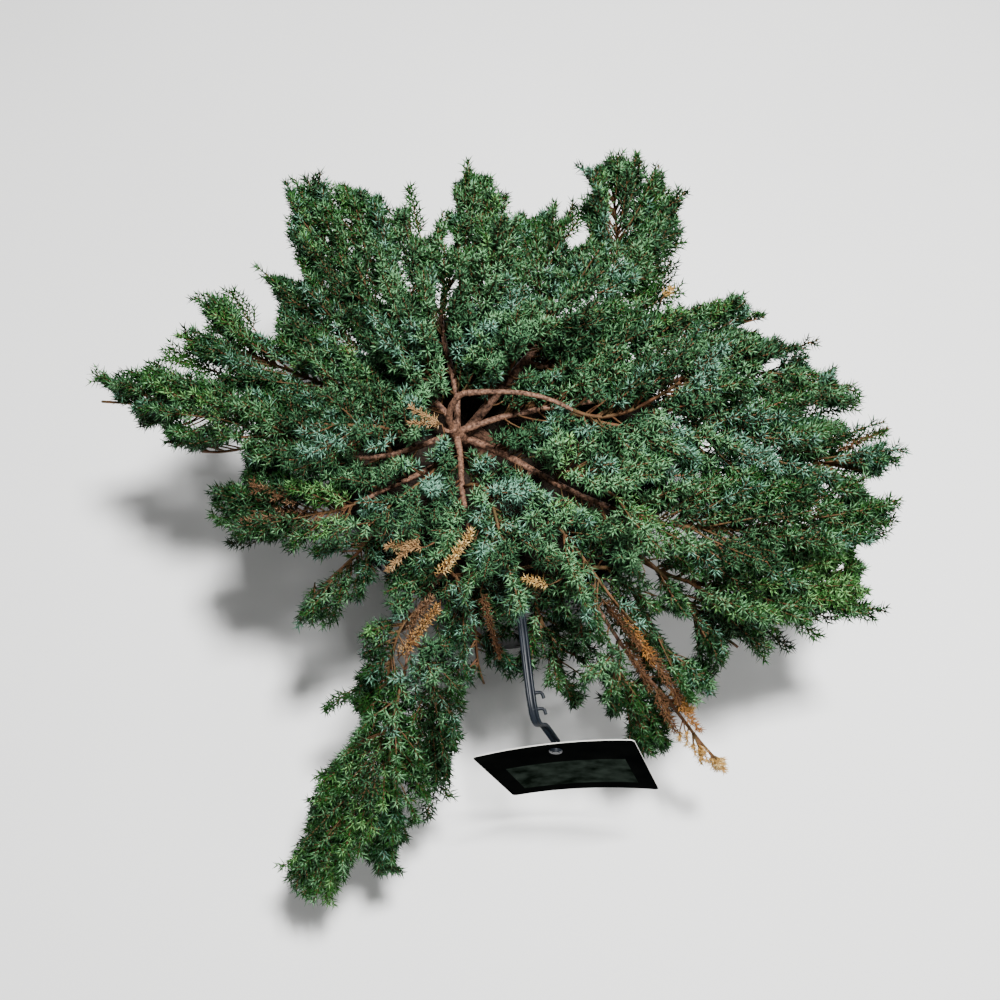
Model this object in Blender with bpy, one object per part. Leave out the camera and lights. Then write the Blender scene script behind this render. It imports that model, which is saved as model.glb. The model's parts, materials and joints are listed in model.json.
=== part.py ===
"""Green carpet common juniper in a black nursery pot.

A prostrate juniper seen from all sides: a short leaning trunk, boughs that arch out over the
pot's rim, and masses of needle sprays that spread flat and hang down at the front. A plain card
hangs on a holder at the front of the pot. Metres, +Z up, +Y away from the front. The origin is
the middle of the pot's underside.
"""
import math
import random
from collections import namedtuple

import bmesh
import bpy
import numpy as np
from mathutils import Matrix, Vector

# Pot and soil
POT_HEIGHT = 0.225
POT_RIM_RADIUS = 0.141
POT_BASE_RADIUS = 0.1075
POT_WALL = 0.0025
POT_LIP_DEPTH = 0.020
POT_LIP_OUT = 0.0035
POT_EDGE = 0.0015
POT_SIDES = 36
DRAIN_COUNT = 8
DRAIN_WIDTH = 0.014
DRAIN_HEIGHT = 0.007
DRAIN_REACH = 0.012
SOIL_LEVEL = 0.208
SOIL_DIP = 0.004
GAP = 0.0003
SIDE_GAP = 0.00035

# Label card and its holder
CARD_WIDTH = 0.125
CARD_HEIGHT = 0.120
CARD_THICK = 0.0009
CARD_BOW = 0.004
CARD_TWIST = 0.0035
CARD_CORNER = 0.004
CARD_COLUMNS = 8
CARD_HOLE_DROP = 0.013
CARD_HOLE_RADIUS = 0.0026
CARD_TOP = Vector((0.039, -0.240, 0.218))
CARD_ROLL = math.radians(16)
CARD_LEAN = math.radians(7.5)
HOLDER_FOOT = Vector((0.012, -0.122, 0.170))
HOLDER_RISE = Vector((0.013, -0.126, 0.232))
HOLDER_OVER = Vector((0.0165, -0.150, 0.242))
HOLDER_BEND = Vector((0.0250, -0.221, 0.240))
HOLDER_BAR = 0.0050
HOLDER_FLATNESS = 0.6
HOOK_REACH = 0.009
HOOK_BAR = 0.0013
STUD_RADIUS = 0.0022
BUTTON_RADIUS = 0.0052
BUTTON_THICK = 0.0024

# Trunk
TRUNK_FOOT = (-0.019, 0.012)
TRUNK_TOP = Vector((-0.039, 0.002, 0.269))
TRUNK_TOP_WAY = Vector((-0.30, 0.20, 0.93))
TRUNK_RADIUS = 0.0080
TRUNK_TIP_RADIUS = 0.0060
FLARE_RADIUS = 0.0160
FLARE_RISE = 0.28
FLARE_LOBES = 4
FLARE_LOBE_DEPTH = 0.14
TRUNK_SIDES = 8
TRUNK_RINGS = 8

# Limbs, stems and sprays
TIP_FULLNESS = 0.35
LIMB_SIDES = 6
LIMB_RINGS = 6
STEM_SIDES = 3
STEM_RADIUS = 0.0019
STEM_TIP_RADIUS = 0.0013
STEM_POINT_RADIUS = 0.0004
STEM_RINGS = 5
STEM_OVERLAP = 0.12
PULL = 0.36
DROP_LIFT = 0.55
RISE_LIFT = 0.25
TWIG_STEP = 0.025
TWIG_BARE = 0.20
TWIG_BAYS = 3
SHORT_TWIG = 0.048
TIP_BAYS = 4
TIP_LENGTH = 0.075
TIP_BARE = 0.16
SPRAY_SLIMNESS = 0.36
SPRAY_HALF = 0.024
TIP_HALF = 0.018
CORE_HALF = 0.0045
CORE_THICK = 0.0040
BARE_HALF = 0.0013
ROOT_HALF = 0.0005
SHRINKS = (1.0, 0.82, 0.66, 0.52, 0.40)
ROLLS = (8, 172, 18, 160, 80)
ROLL_SPREAD = 10
ROLL_TRIES = (0, 24, -24, 180, 156, 70)
ANGLE_NEAR = 60
ANGLE_FAR = 36
UPTURN = 0.16

# Space kept by each mass
SAMPLE_STEP = 0.004
LIMB_MARGIN = 0.0022
SPACE_MARGIN = 0.0020
SPACE_FROM = 0.22
SIBLING_MARGIN = 0.0015
SIBLING_FROM = 0.45
POT_MARGIN = 0.003
CARD_MARGIN = 0.004
GROUND_MARGIN = 0.006
SHOW_WIDTH = 0.0075
SEED = "carpet juniper"

# A limb leaves its parent at a share of the parent's length (1 is its tip). Its own tip is placed
# by heading in degrees round the pot's axis, reach and height in millimetres. Root and tip are
# its radii in millimetres. Turn and pitch, in degrees, are how its tip points away from its chord.
Limb = namedtuple("Limb", "name parent along heading reach height root tip turn pitch")
LIMBS = (
    Limb("bough_hook", "trunk", 1.0, 146, 27, 301, 2.8, 2.3, -52, 0),
    Limb("bough_arch", "bough_hook", 1.0, 2, 56, 297, 2.2, 1.6, -22, -8),
    Limb("bough_east", "trunk", 0.84, 17, 160, 272, 2.7, 1.6, 12, 4),
    Limb("bough_northeast", "trunk", 0.66, 56, 134, 276, 4.2, 2.1, -14, 6),
    Limb("bough_east_northeast", "bough_northeast", 0.50, 34, 120, 274, 2.3, 1.6, -10, 6),
    Limb("bough_north", "trunk", 0.84, 105, 140, 284, 2.6, 1.6, -46, 10),
    Limb("bough_north_northwest", "bough_northwest", 0.50, 120, 136, 272, 2.0, 1.5, -18, 10),
    Limb("bough_northwest", "trunk", 0.64, 141, 132, 264, 3.0, 1.7, -6, 6),
    Limb("bough_west", "trunk", 0.84, 186, 136, 256, 2.6, 1.6, -34, 2),
    Limb("bough_southwest", "trunk", 0.62, 208, 122, 258, 2.4, 1.6, -10, -6),
    Limb("bough_south", "trunk", 0.86, 252, 80, 270, 2.6, 1.9, 12, -6),
    Limb("bough_south_southwest", "bough_south", 1.0, 247, 140, 248, 1.9, 1.6, -10, -26),
    Limb("bough_tail", "bough_south_southwest", 1.0, 248, 218, 196, 1.6, 1.3, -8, -26),
    Limb("bough_southeast", "trunk", 0.64, 318, 111, 285, 3.3, 2.0, 12, 4),
    Limb("bough_southeast_low", "bough_southeast", 0.90, 317, 152, 246, 1.9, 1.5, 4, -12),
    Limb("bough_south_southeast", "bough_southeast", 0.48, 297, 150, 250, 2.2, 1.6, 10, -20),
    Limb("bough_dead", "bough_south_southeast", 1.0, 304, 226, 178, 1.6, 1.3, 4, -26),
)

# Limbs that no foliage hides from above
SHOWN_LIMBS = ("bough_hook", "bough_arch", "bough_southeast", "bough_south", "bough_north")

# A mass is placed as a limb is. Spread is the half width of its foliage in millimetres.
Mass = namedtuple("Mass", "name parent along heading reach height turn pitch spread tint")
MASSES = (
    Mass("mass_west_tip", "bough_west", 1.0, 173, 336, 238, 14, 2, 40, "green"),
    Mass("mass_west_under", "bough_west", 0.80, 178, 254, 208, -4, -10, 42, "deep"),
    Mass("mass_west_northwest", "bough_west", 0.50, 156, 268, 254, -14, 8, 50, "green"),
    Mass("mass_southwest", "bough_southwest", 1.0, 189, 212, 216, -22, -8, 46, "deep"),
    Mass("mass_southwest_under", "bough_southwest", 0.90, 218, 196, 190, 0, -66, 34, "blue"),
    Mass("mass_northwest_low", "bough_northwest", 0.86, 143, 244, 244, 6, -6, 46, "deep"),
    Mass("mass_northwest", "bough_northwest", 1.0, 127, 274, 274, -6, 6, 46, "green"),
    Mass("mass_northwest_high", "bough_north_northwest", 0.72, 122, 244, 290, -4, 10, 50, "green"),
    Mass("mass_north_northwest", "bough_north_northwest", 1.0, 111, 212, 296, -14, 14, 48, "green"),
    Mass("mass_north", "bough_north", 1.0, 95, 213, 300, -8, 14, 50, "green"),
    Mass("mass_north_northeast", "bough_northeast", 0.72, 78, 195, 284, 6, 12, 52, "deep"),
    Mass("mass_spire", "bough_northeast", 1.0, 67, 237, 312, 14, 20, 46, "green"),
    Mass("mass_spire_east", "bough_northeast", 0.88, 55, 248, 280, -2, 4, 46, "green"),
    Mass("mass_east_northeast", "bough_east_northeast", 1.0, 26, 234, 268, 2, 4, 44, "green"),
    Mass("mass_east_upper", "bough_east", 1.0, 9, 282, 256, -2, 0, 44, "blue"),
    Mass("mass_east", "bough_east", 0.74, 355, 300, 244, 6, 0, 58, "blue"),
    Mass("mass_east_lower", "bough_southeast", 1.0, 350, 296, 228, 8, -8, 60, "green"),
    Mass("mass_southeast", "bough_southeast_low", 1.0, 341, 306, 206, 6, -8, 54, "fresh"),
    Mass("mass_southeast_under", "bough_southeast_low", 0.56, 322, 248, 174, 0, -24, 50, "deep"),
    Mass("mass_south_southeast", "bough_south_southeast", 0.84, 313, 238, 156, 14, -34, 48, "green"),
    Mass("mass_dead_under", "bough_dead", 0.42, 300, 240, 116, -6, -40, 44, "deep"),
    Mass("mass_dead_tip", "bough_dead", 1.0, 308, 304, 118, 4, -26, 16, "gold"),
    Mass("mass_south", "bough_south_southeast", 0.62, 286, 199, 172, -2, -48, 42, "deep"),
    Mass("mass_tail_left", "bough_tail", 0.20, 244, 250, 150, -10, -34, 36, "green"),
    Mass("mass_tail_right", "bough_south_southwest", 0.66, 266, 184, 176, 10, -52, 46, "blue"),
    Mass("mass_tail_middle", "bough_tail", 0.45, 257, 244, 130, 6, -40, 42, "deep"),
    Mass("mass_tail_end", "bough_tail", 1.0, 244, 360, 92, -4, -26, 46, "fresh"),
    Mass("mass_tail_end_right", "bough_tail", 0.72, 252, 330, 92, 2, -36, 38, "green"),
    Mass("crown_west", "bough_west", 0.30, 184, 146, 300, -6, 10, 50, "blue"),
    Mass("crown_northwest", "bough_northwest", 0.32, 136, 164, 312, 4, 14, 50, "green"),
    Mass("crown_north", "bough_north", 0.44, 90, 146, 326, 8, 18, 46, "green"),
    Mass("crown_northeast", "bough_northeast", 0.34, 57, 144, 324, -6, 16, 50, "green"),
    Mass("crown_east", "bough_arch", 1.0, 12, 170, 314, 8, 8, 52, "blue"),
    Mass("crown_east_low", "bough_east", 0.44, 349, 162, 298, -10, 8, 48, "blue"),
    Mass("crown_southeast", "bough_southeast", 0.66, 320, 180, 300, -6, 0, 50, "green"),
    Mass("crown_south_southeast", "bough_south_southeast", 0.36, 302, 186, 262, 2, -10, 44, "green"),
    Mass("crown_south", "bough_south", 0.66, 277, 156, 290, 12, 0, 52, "blue"),
    Mass("crown_southwest", "bough_southwest", 0.34, 224, 150, 288, 4, 4, 52, "blue"),
)

# Finishes: colour, roughness, metallic
FINISHES = {
    "black_plastic": ((0.020, 0.021, 0.022), 0.55, 0.0),
    "compost": ((0.055, 0.042, 0.030), 0.95, 0.0),
    "card": ((0.030, 0.034, 0.032), 0.35, 0.0),
    "bark": ((0.230, 0.130, 0.085), 0.85, 0.0),
    "green": ((0.035, 0.130, 0.060), 0.70, 0.0),
    "deep": ((0.020, 0.085, 0.045), 0.75, 0.0),
    "blue": ((0.120, 0.270, 0.230), 0.65, 0.0),
    "fresh": ((0.130, 0.330, 0.090), 0.65, 0.0),
    "gold": ((0.420, 0.270, 0.110), 0.80, 0.0),
}


def clear_scene():
    for thing in list(bpy.data.objects):
        bpy.data.objects.remove(thing, do_unlink=True)


def finish_for(name):
    """The Principled material of that name, made once."""
    made = bpy.data.materials.get(name)
    if made:
        return made
    colour, roughness, metallic = FINISHES[name]
    made = bpy.data.materials.new(name)
    made.use_nodes = True
    made.diffuse_color = (*colour, 1)
    shader = made.node_tree.nodes["Principled BSDF"]
    shader.inputs["Base Color"].default_value = (*colour, 1)
    shader.inputs["Roughness"].default_value = roughness
    shader.inputs["Metallic"].default_value = metallic
    return made


def make_object(name, bm, finish=None, smooth_angle=None):
    """Puts a finished bmesh in the scene as an object."""
    bmesh.ops.recalc_face_normals(bm, faces=bm.faces[:])
    mesh = bpy.data.meshes.new(name)
    bm.to_mesh(mesh)
    bm.free()
    thing = bpy.data.objects.new(name, mesh)
    bpy.context.scene.collection.objects.link(thing)
    if finish:
        mesh.materials.append(finish_for(finish))
    if smooth_angle is not None:
        mesh.shade_smooth()
        mesh.set_sharp_from_angle(angle=math.radians(smooth_angle))
    return thing


def apply_boolean(thing, operation, other=None, group=None, solver="EXACT"):
    """Joins or cuts an object by another object or by a collection, and applies it."""
    step = thing.modifiers.new(operation.lower(), "BOOLEAN")
    step.operation = operation
    step.solver = solver
    if group:
        step.operand_type = "COLLECTION"
        step.collection = group
    else:
        step.object = other
    graph = bpy.context.evaluated_depsgraph_get()
    mesh = bpy.data.meshes.new_from_object(thing.evaluated_get(graph), depsgraph=graph)
    thing.modifiers.clear()
    thing.data = mesh


def unit(vector):
    return vector / np.linalg.norm(vector)


def mix(near, far, share):
    return near + (far - near) * share


def heading_way(heading, pitch):
    """Unit vector for a heading round the vertical and a pitch above the level, in degrees."""
    turn = math.radians(heading)
    rise = math.radians(pitch)
    return np.array((math.cos(turn) * math.cos(rise), math.sin(turn) * math.cos(rise), math.sin(rise)))


def spot(heading, reach, height):
    """Point at a heading in degrees, a reach and a height in millimetres."""
    turn = math.radians(heading)
    return np.array((reach * math.cos(turn), reach * math.sin(turn), height)) / 1000


def bend(start, leave, end, arrive, steps):
    """Points of a cubic curve that leaves start along leave and reaches end along arrive."""
    pull = PULL * np.linalg.norm(end - start)
    share = np.linspace(0, 1, steps + 1)[:, None]
    rest = 1 - share
    near = start + leave * pull
    far = end - arrive * pull
    return rest**3 * start + 3 * rest**2 * share * near + 3 * rest * share**2 * far + share**3 * end


class Route:
    """Points along a limb or a stem, with the radius at each."""

    def __init__(self, points, radii, leave=None):
        self.points = points
        self.radii = radii
        self.leave = leave
        steps = np.linalg.norm(np.diff(points, axis=0), axis=1)
        self.length = steps.sum()
        self.shares = np.concatenate(([0], np.cumsum(steps))) / self.length

    def place(self, share):
        return np.array([np.interp(share, self.shares, self.points[:, axis]) for axis in range(3)])

    def way(self, share):
        if share >= 1:
            return unit(self.points[-1] - self.points[-2])
        near = self.place(max(0.0, share - 0.04))
        far = self.place(min(1.0, share + 0.04))
        return unit(far - near)

    def radius(self, share):
        return float(np.interp(share, self.shares, self.radii))

    def samples(self, step):
        """Points every step along the route, with their radii."""
        shares = np.linspace(0, 1, max(2, int(self.length / step) + 2))
        points = np.stack([np.interp(shares, self.shares, self.points[:, axis]) for axis in range(3)], axis=1)
        return points, np.interp(shares, self.shares, self.radii)


def ring_frames(points, first_way=None):
    """A side and an up vector at each point, carried along without twist."""
    ways = np.gradient(points, axis=0)
    ways = ways / np.linalg.norm(ways, axis=1)[:, None]
    if first_way is not None:
        ways[0] = first_way
    guide = np.array((0.0, 0.0, 1.0)) if abs(ways[0][2]) < 0.9 else np.array((0.0, 1.0, 0.0))
    frames = []
    for way in ways:
        side = unit(np.cross(guide, way))
        up = np.cross(way, side)
        frames.append((side, up))
        guide = up
    return frames


def extrude_rings(rings):
    """A closed tube through rings of corner points, with its walls ring by ring and its end face."""
    bm = bmesh.new()
    face = bm.faces.new([bm.verts.new(corner) for corner in rings[0]])
    bays = []
    for corners in rings[1:]:
        grown = bmesh.ops.extrude_face_region(bm, geom=[face])["geom"]
        if bays:
            bmesh.ops.delete(bm, geom=[face], context="FACES_ONLY")
        face = next(item for item in grown if isinstance(item, bmesh.types.BMFace))
        for vert, corner in zip(face.verts, corners):
            vert.co = corner
        bays.append([next(wall for wall in edge.link_faces if wall is not face) for edge in face.edges])
    return bm, bays, face


def tube_bm(points, radii, sides, first_way=None, flat=1.0, lobes=None):
    """A tapering tube, round or flattened, with an optional lobed foot."""
    rings = []
    for number, (point, radius, (side, up)) in enumerate(zip(points, radii, ring_frames(points, first_way))):
        corners = []
        for corner in range(sides):
            angle = 2 * math.pi * (corner + 0.5) / sides
            size = radius * (lobes(number, angle) if lobes else 1)
            corners.append(point + size * (side * math.cos(angle) + up * math.sin(angle) * flat))
        rings.append(corners)
    return extrude_rings(rings)[0]


def turned(name, profile, finish):
    """A solid of revolution from (radius, height) pairs that start and end on the axis."""
    bm = bmesh.new()
    verts = [bm.verts.new((radius, 0, height)) for radius, height in profile]
    edges = [bm.edges.new(pair) for pair in zip(verts, verts[1:])]
    bmesh.ops.spin(bm, geom=verts + edges, cent=(0, 0, 0), axis=(0, 0, 1), angle=2 * math.pi,
                   steps=POT_SIDES, use_merge=True)
    bmesh.ops.remove_doubles(bm, verts=bm.verts[:], dist=1e-6)
    bmesh.ops.dissolve_degenerate(bm, edges=bm.edges[:], dist=1e-6)
    return make_object(name, bm, finish, smooth_angle=35)


def box_bm(size, place):
    bm = bmesh.new()
    bmesh.ops.create_cube(bm, size=1)
    bmesh.ops.scale(bm, vec=size, verts=bm.verts[:])
    bmesh.ops.transform(bm, matrix=place, verts=bm.verts[:])
    return bm


def wall_radius(height):
    """Outer radius of the pot's wall at a height."""
    top = POT_RIM_RADIUS - POT_LIP_OUT
    return mix(POT_BASE_RADIUS, top, height / POT_HEIGHT)


def make_pot():
    lip_foot = POT_HEIGHT - POT_LIP_DEPTH
    profile = [
        (0, 0),
        (POT_BASE_RADIUS - POT_EDGE, 0),
        (wall_radius(POT_EDGE), POT_EDGE),
        (wall_radius(lip_foot), lip_foot),
        (POT_RIM_RADIUS - POT_EDGE, lip_foot + POT_EDGE),
        (POT_RIM_RADIUS, POT_HEIGHT - POT_EDGE),
        (POT_RIM_RADIUS - POT_EDGE, POT_HEIGHT),
        (wall_radius(POT_HEIGHT) - POT_WALL + POT_EDGE, POT_HEIGHT),
        (wall_radius(POT_HEIGHT) - POT_WALL, POT_HEIGHT - POT_EDGE),
        (wall_radius(POT_WALL) - POT_WALL, POT_WALL),
        (0, POT_WALL),
    ]
    pot = turned("pot", profile, "black_plastic")
    notches = bpy.data.collections.new("drain_notches")
    bpy.context.scene.collection.children.link(notches)
    for number in range(DRAIN_COUNT):
        turn = Matrix.Rotation(2 * math.pi * (number + 0.5) / DRAIN_COUNT, 4, "Z")
        out = Matrix.Translation((POT_BASE_RADIUS, 0, 0))
        notch = make_object("notch", box_bm((DRAIN_REACH, DRAIN_WIDTH, DRAIN_HEIGHT * 2), turn @ out))
        bpy.context.scene.collection.objects.unlink(notch)
        notches.objects.link(notch)
    apply_boolean(pot, "DIFFERENCE", group=notches)
    remove_group(notches)
    return pot


def make_soil(holder_leg):
    """Compost that fills the pot, with a slot for the holder's leg."""
    foot = POT_WALL + GAP
    shoulder = SOIL_LEVEL - SOIL_DIP
    profile = [
        (0, foot),
        (wall_radius(foot) - POT_WALL - 2 * GAP, foot),
        (wall_radius(shoulder) - POT_WALL - 2 * GAP, shoulder),
        (wall_radius(shoulder) * 0.80, SOIL_LEVEL),
        (0, SOIL_LEVEL),
    ]
    soil = turned("soil", profile, "compost")
    apply_boolean(soil, "DIFFERENCE", other=holder_leg)
    bpy.data.objects.remove(holder_leg, do_unlink=True)
    return soil


def card_frame():
    """Matrix that takes the card's own plane (X along it, Z up it, -Y its face) to its place."""
    roll = Matrix.Rotation(CARD_ROLL, 4, "Y").inverted()
    lean = Matrix.Rotation(CARD_LEAN, 4, "X").inverted()
    return Matrix.Translation(CARD_TOP) @ roll @ lean


def make_card():
    """A thin card with rounded corners, hung by a hole near its top edge; its sides droop forward."""
    bm = bmesh.new()
    bmesh.ops.create_grid(bm, x_segments=CARD_COLUMNS, y_segments=1, size=0.5)
    bmesh.ops.scale(bm, vec=(CARD_WIDTH, CARD_HEIGHT, 1), verts=bm.verts[:])
    corners = [v for v in bm.verts if len(v.link_faces) == 1]
    bmesh.ops.bevel(bm, geom=corners, offset=CARD_CORNER, offset_type="OFFSET", segments=2, profile=0.5,
                    affect="VERTICES", material=-1)
    for vert in bm.verts:
        across, down = vert.co.x, vert.co.y - CARD_HEIGHT / 2
        side = 2 * across / CARD_WIDTH
        forward = CARD_BOW * side**2 - CARD_TWIST * side * (1 + down / CARD_HEIGHT)
        vert.co = (across, -forward, down)
    bmesh.ops.recalc_face_normals(bm, faces=bm.faces[:])
    walls = bmesh.ops.extrude_face_region(bm, geom=bm.faces[:])["geom"]
    for item in walls:
        if isinstance(item, bmesh.types.BMVert):
            item.co.y += CARD_THICK
    bmesh.ops.transform(bm, matrix=card_frame(), verts=bm.verts[:])
    card = make_object("label_card", bm, "card")
    hole = bmesh.new()
    bmesh.ops.create_cone(hole, cap_ends=True, segments=8, radius1=CARD_HOLE_RADIUS,
                          radius2=CARD_HOLE_RADIUS, depth=10 * CARD_THICK)
    through = card_frame() @ Matrix.Translation((0, 0, -CARD_HOLE_DROP)) @ Matrix.Rotation(math.pi / 2, 4, "X")
    bmesh.ops.transform(hole, matrix=through, verts=hole.verts[:])
    cutter = make_object("card_hole", hole)
    apply_boolean(card, "DIFFERENCE", other=cutter)
    bpy.data.objects.remove(cutter, do_unlink=True)
    return card


def holder_route():
    """The holder's bar, from its foot in the soil over the rim to the back of the card."""
    back = card_frame() @ Vector((0, CARD_THICK + GAP + HOLDER_BAR, -CARD_HOLE_DROP))
    drop = card_frame() @ Vector((-0.004, 0.012, 0.006))
    rise = (HOLDER_FOOT, HOLDER_RISE, HOLDER_OVER, HOLDER_BEND, drop, back)
    return np.array([tuple(point) for point in rise])


def make_holder():
    """Bar with two side hooks, and a stud through the card that ends in a round button."""
    route = holder_route()
    bar = make_object("label_holder", tube_bm(route, [HOLDER_BAR] * len(route), 4, flat=HOLDER_FLATNESS),
                      "black_plastic")
    parts = []
    along = unit(route[3] - route[2])
    side = unit(np.cross(np.array((0.0, 0.0, 1.0)), along))
    for share in (0.80, 0.97):
        root = mix(route[2], route[3], share)
        path = np.array((root, root + side * HOOK_REACH * 0.8, root + side * HOOK_REACH + along * HOOK_REACH * 0.5))
        parts.append(make_object("hook", tube_bm(path, [HOOK_BAR] * 3, 4)))
    inside = Vector((0, CARD_THICK + GAP + HOLDER_BAR, -CARD_HOLE_DROP))
    face = Vector((0, -GAP * 2, -CARD_HOLE_DROP))
    front = face - Vector((0, BUTTON_THICK, 0))
    lengths = ((inside, front, STUD_RADIUS, 8), (face, front, BUTTON_RADIUS, 12))
    for near, far, radius, sides in lengths:
        path = np.array([tuple(card_frame() @ near), tuple(card_frame() @ far)])
        parts.append(make_object("stud", tube_bm(path, [radius] * 2, sides)))
    fuse(bar, parts)
    return bar


def leg_cutter():
    """The holder's leg, larger by the gap, for the slot in the soil."""
    route = holder_route()[:3]
    route[0] -= np.array((0, 0, GAP))
    return make_object("leg_slot", tube_bm(route, [HOLDER_BAR + 2 * GAP] * 3, 4, flat=HOLDER_FLATNESS + 0.06))


def remove_group(group):
    for thing in list(group.objects):
        bpy.data.objects.remove(thing, do_unlink=True)
    bpy.data.collections.remove(group)


def fuse(base, parts):
    """Joins parts to base as one closed body, and drops any loose scrap."""
    if not parts:
        return
    group = bpy.data.collections.new("parts_of_" + base.name)
    bpy.context.scene.collection.children.link(group)
    for part in parts:
        bpy.context.scene.collection.objects.unlink(part)
        group.objects.link(part)
    single = base.data.copy()
    for solver in ("EXACT", "MANIFOLD"):
        base.data = single.copy()
        apply_boolean(base, "UNION", group=group, solver=solver)
        if keep_largest(base):
            break
    remove_group(group)


def keep_largest(thing):
    """Leaves only the largest connected piece of a mesh, and says whether it is closed."""
    bm = bmesh.new()
    bm.from_mesh(thing.data)
    bmesh.ops.remove_doubles(bm, verts=bm.verts[:], dist=2e-6)
    bmesh.ops.dissolve_degenerate(bm, edges=bm.edges[:], dist=2e-6)
    left = set(bm.verts)
    pieces = []
    while left:
        piece = set()
        queue = [left.pop()]
        while queue:
            vert = queue.pop()
            piece.add(vert)
            for edge in vert.link_edges:
                other = edge.other_vert(vert)
                if other in left:
                    left.remove(other)
                    queue.append(other)
        pieces.append(piece)
    pieces.sort(key=len)
    scraps = [vert for piece in pieces[:-1] for vert in piece]
    bmesh.ops.delete(bm, geom=scraps, context="VERTS")
    closed = all(edge.is_manifold for edge in bm.edges)
    bm.to_mesh(thing.data)
    bm.free()
    return closed


def trunk_route():
    foot = np.array((*TRUNK_FOOT, SOIL_LEVEL + GAP))
    top = np.array(TRUNK_TOP)
    points = bend(foot, np.array((0.0, 0.0, 1.0)), top, unit(np.array(TRUNK_TOP_WAY)), TRUNK_RINGS)
    shares = np.linspace(0, 1, TRUNK_RINGS + 1)
    flare = (FLARE_RADIUS - TRUNK_RADIUS) * np.clip(1 - shares / FLARE_RISE, 0, 1) ** 1.6
    return Route(points, mix(TRUNK_RADIUS, TRUNK_TIP_RADIUS, shares) + flare)


def trunk_lobes(ring, angle):
    fade = max(0.0, 1 - ring / (TRUNK_RINGS * 0.5))
    return 1 + FLARE_LOBE_DEPTH * fade * math.cos(FLARE_LOBES * angle)


def start_on(parent, along, target):
    """Where a limb or stem starts clear of its parent, and the way it leaves there."""
    if along >= 1:
        way = parent.way(1)
        return parent.place(1) + way * GAP, way
    axis = parent.place(along)
    way = parent.way(along)
    chord = target - axis
    chord[2] += (DROP_LIFT if chord[2] < 0 else RISE_LIFT) * np.linalg.norm(chord)
    out = unit(chord - way * chord.dot(way))
    return axis + out * (parent.radius(along) + SIDE_GAP), out


def limb_route(limb, parent):
    target = spot(limb.heading, limb.reach, limb.height)
    start, leave = start_on(parent, limb.along, target)
    chord = target - start
    heading = math.degrees(math.atan2(chord[1], chord[0])) + limb.turn
    points = bend(start, leave, target, heading_way(heading, limb.pitch), LIMB_RINGS)
    shares = np.linspace(0, 1, LIMB_RINGS + 1)
    return Route(points, mix(limb.root, limb.tip, shares) / 1000, leave)


def stem_route(mass, parent):
    target = spot(mass.heading, mass.reach, mass.height)
    start, leave = start_on(parent, mass.along, target)
    chord = target - start
    heading = math.degrees(math.atan2(chord[1], chord[0])) + mass.turn
    points = bend(start, leave, target, heading_way(heading, mass.pitch), 2 * STEM_RINGS)
    shares = np.linspace(0, 1, len(points))
    return Route(points, mix(STEM_RADIUS, STEM_TIP_RADIUS, shares), leave)


class Spray:
    """A flat toothed blade along a curve: bare at its root, with a pair of teeth in each bay."""

    def __init__(self, root, way, forward, up, length, half, bays, bare):
        steps = np.linspace(0, 1, 7)[:, None]
        end = root + unit(way + forward * 0.35 + np.array((0, 0, UPTURN))) * length
        middle = root + way * length * 0.5
        curve = (1 - steps) ** 2 * root + 2 * (1 - steps) * steps * middle + steps**2 * end
        self.route = Route(curve, np.full(7, BARE_HALF))
        self.up = up
        self.half = half
        self.bays = bays
        self.bare = bare

    def width(self, share):
        """Half width over the teeth, nothing on the bare part."""
        if share < self.bare:
            return BARE_HALF
        along = (share - self.bare) / (1 - self.bare)
        return self.half * min(1.0, 0.55 + 2.2 * along) * (1 - 0.80 * along**2)

    def frame(self, share):
        way = self.route.way(share)
        side = unit(np.cross(way, self.up))
        return way, side, np.cross(side, way)

    def space(self, first=0.12):
        """Points all over the blade, for testing what it would touch."""
        points = []
        for share in np.linspace(first, 1, int(self.route.length / SAMPLE_STEP) + 2):
            centre = self.route.place(share)
            way, side, up = self.frame(share)
            reach = self.width(share) + 0.001
            for across in np.linspace(-reach, reach, 2 * int(reach / SAMPLE_STEP) + 3):
                points.append(centre + side * across + way * 0.3 * abs(across))
        return np.array(points)

    def build(self):
        shares = [0.0, self.bare]
        shares += [mix(self.bare, 0.90, bay / self.bays) for bay in range(1, self.bays + 1)]
        rings = []
        for number, share in enumerate(shares):
            way, side, up = self.frame(share)
            half = CORE_HALF * mix(1, 0.55, share) if number else ROOT_HALF
            thick = CORE_THICK * mix(1, 0.55, share) / 2 if number else ROOT_HALF
            centre = self.route.place(share)
            rings.append((centre + up * thick, centre - side * half - up * thick, centre + side * half - up * thick))
        bm, bays, cap = extrude_rings(rings)
        for number, faces in enumerate(bays[1:], start=1):
            share = mix(shares[number], shares[number + 1], 0.5)
            way, side, up = self.frame(share)
            centre = self.route.place(share)
            for hand in (-1, 1):
                wall = max((f for f in faces if f.is_valid), key=lambda f: hand * (
                    np.array(f.calc_center_median()) - centre).dot(side))
                tooth = bmesh.ops.poke(bm, faces=[wall])["verts"][0]
                reach = self.width(share)
                tooth.co = centre + side * hand * reach + way * reach * 0.55
        tip = bmesh.ops.poke(bm, faces=[cap])["verts"][0]
        tip.co = self.route.place(1)
        return make_object("spray", bm)


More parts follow.
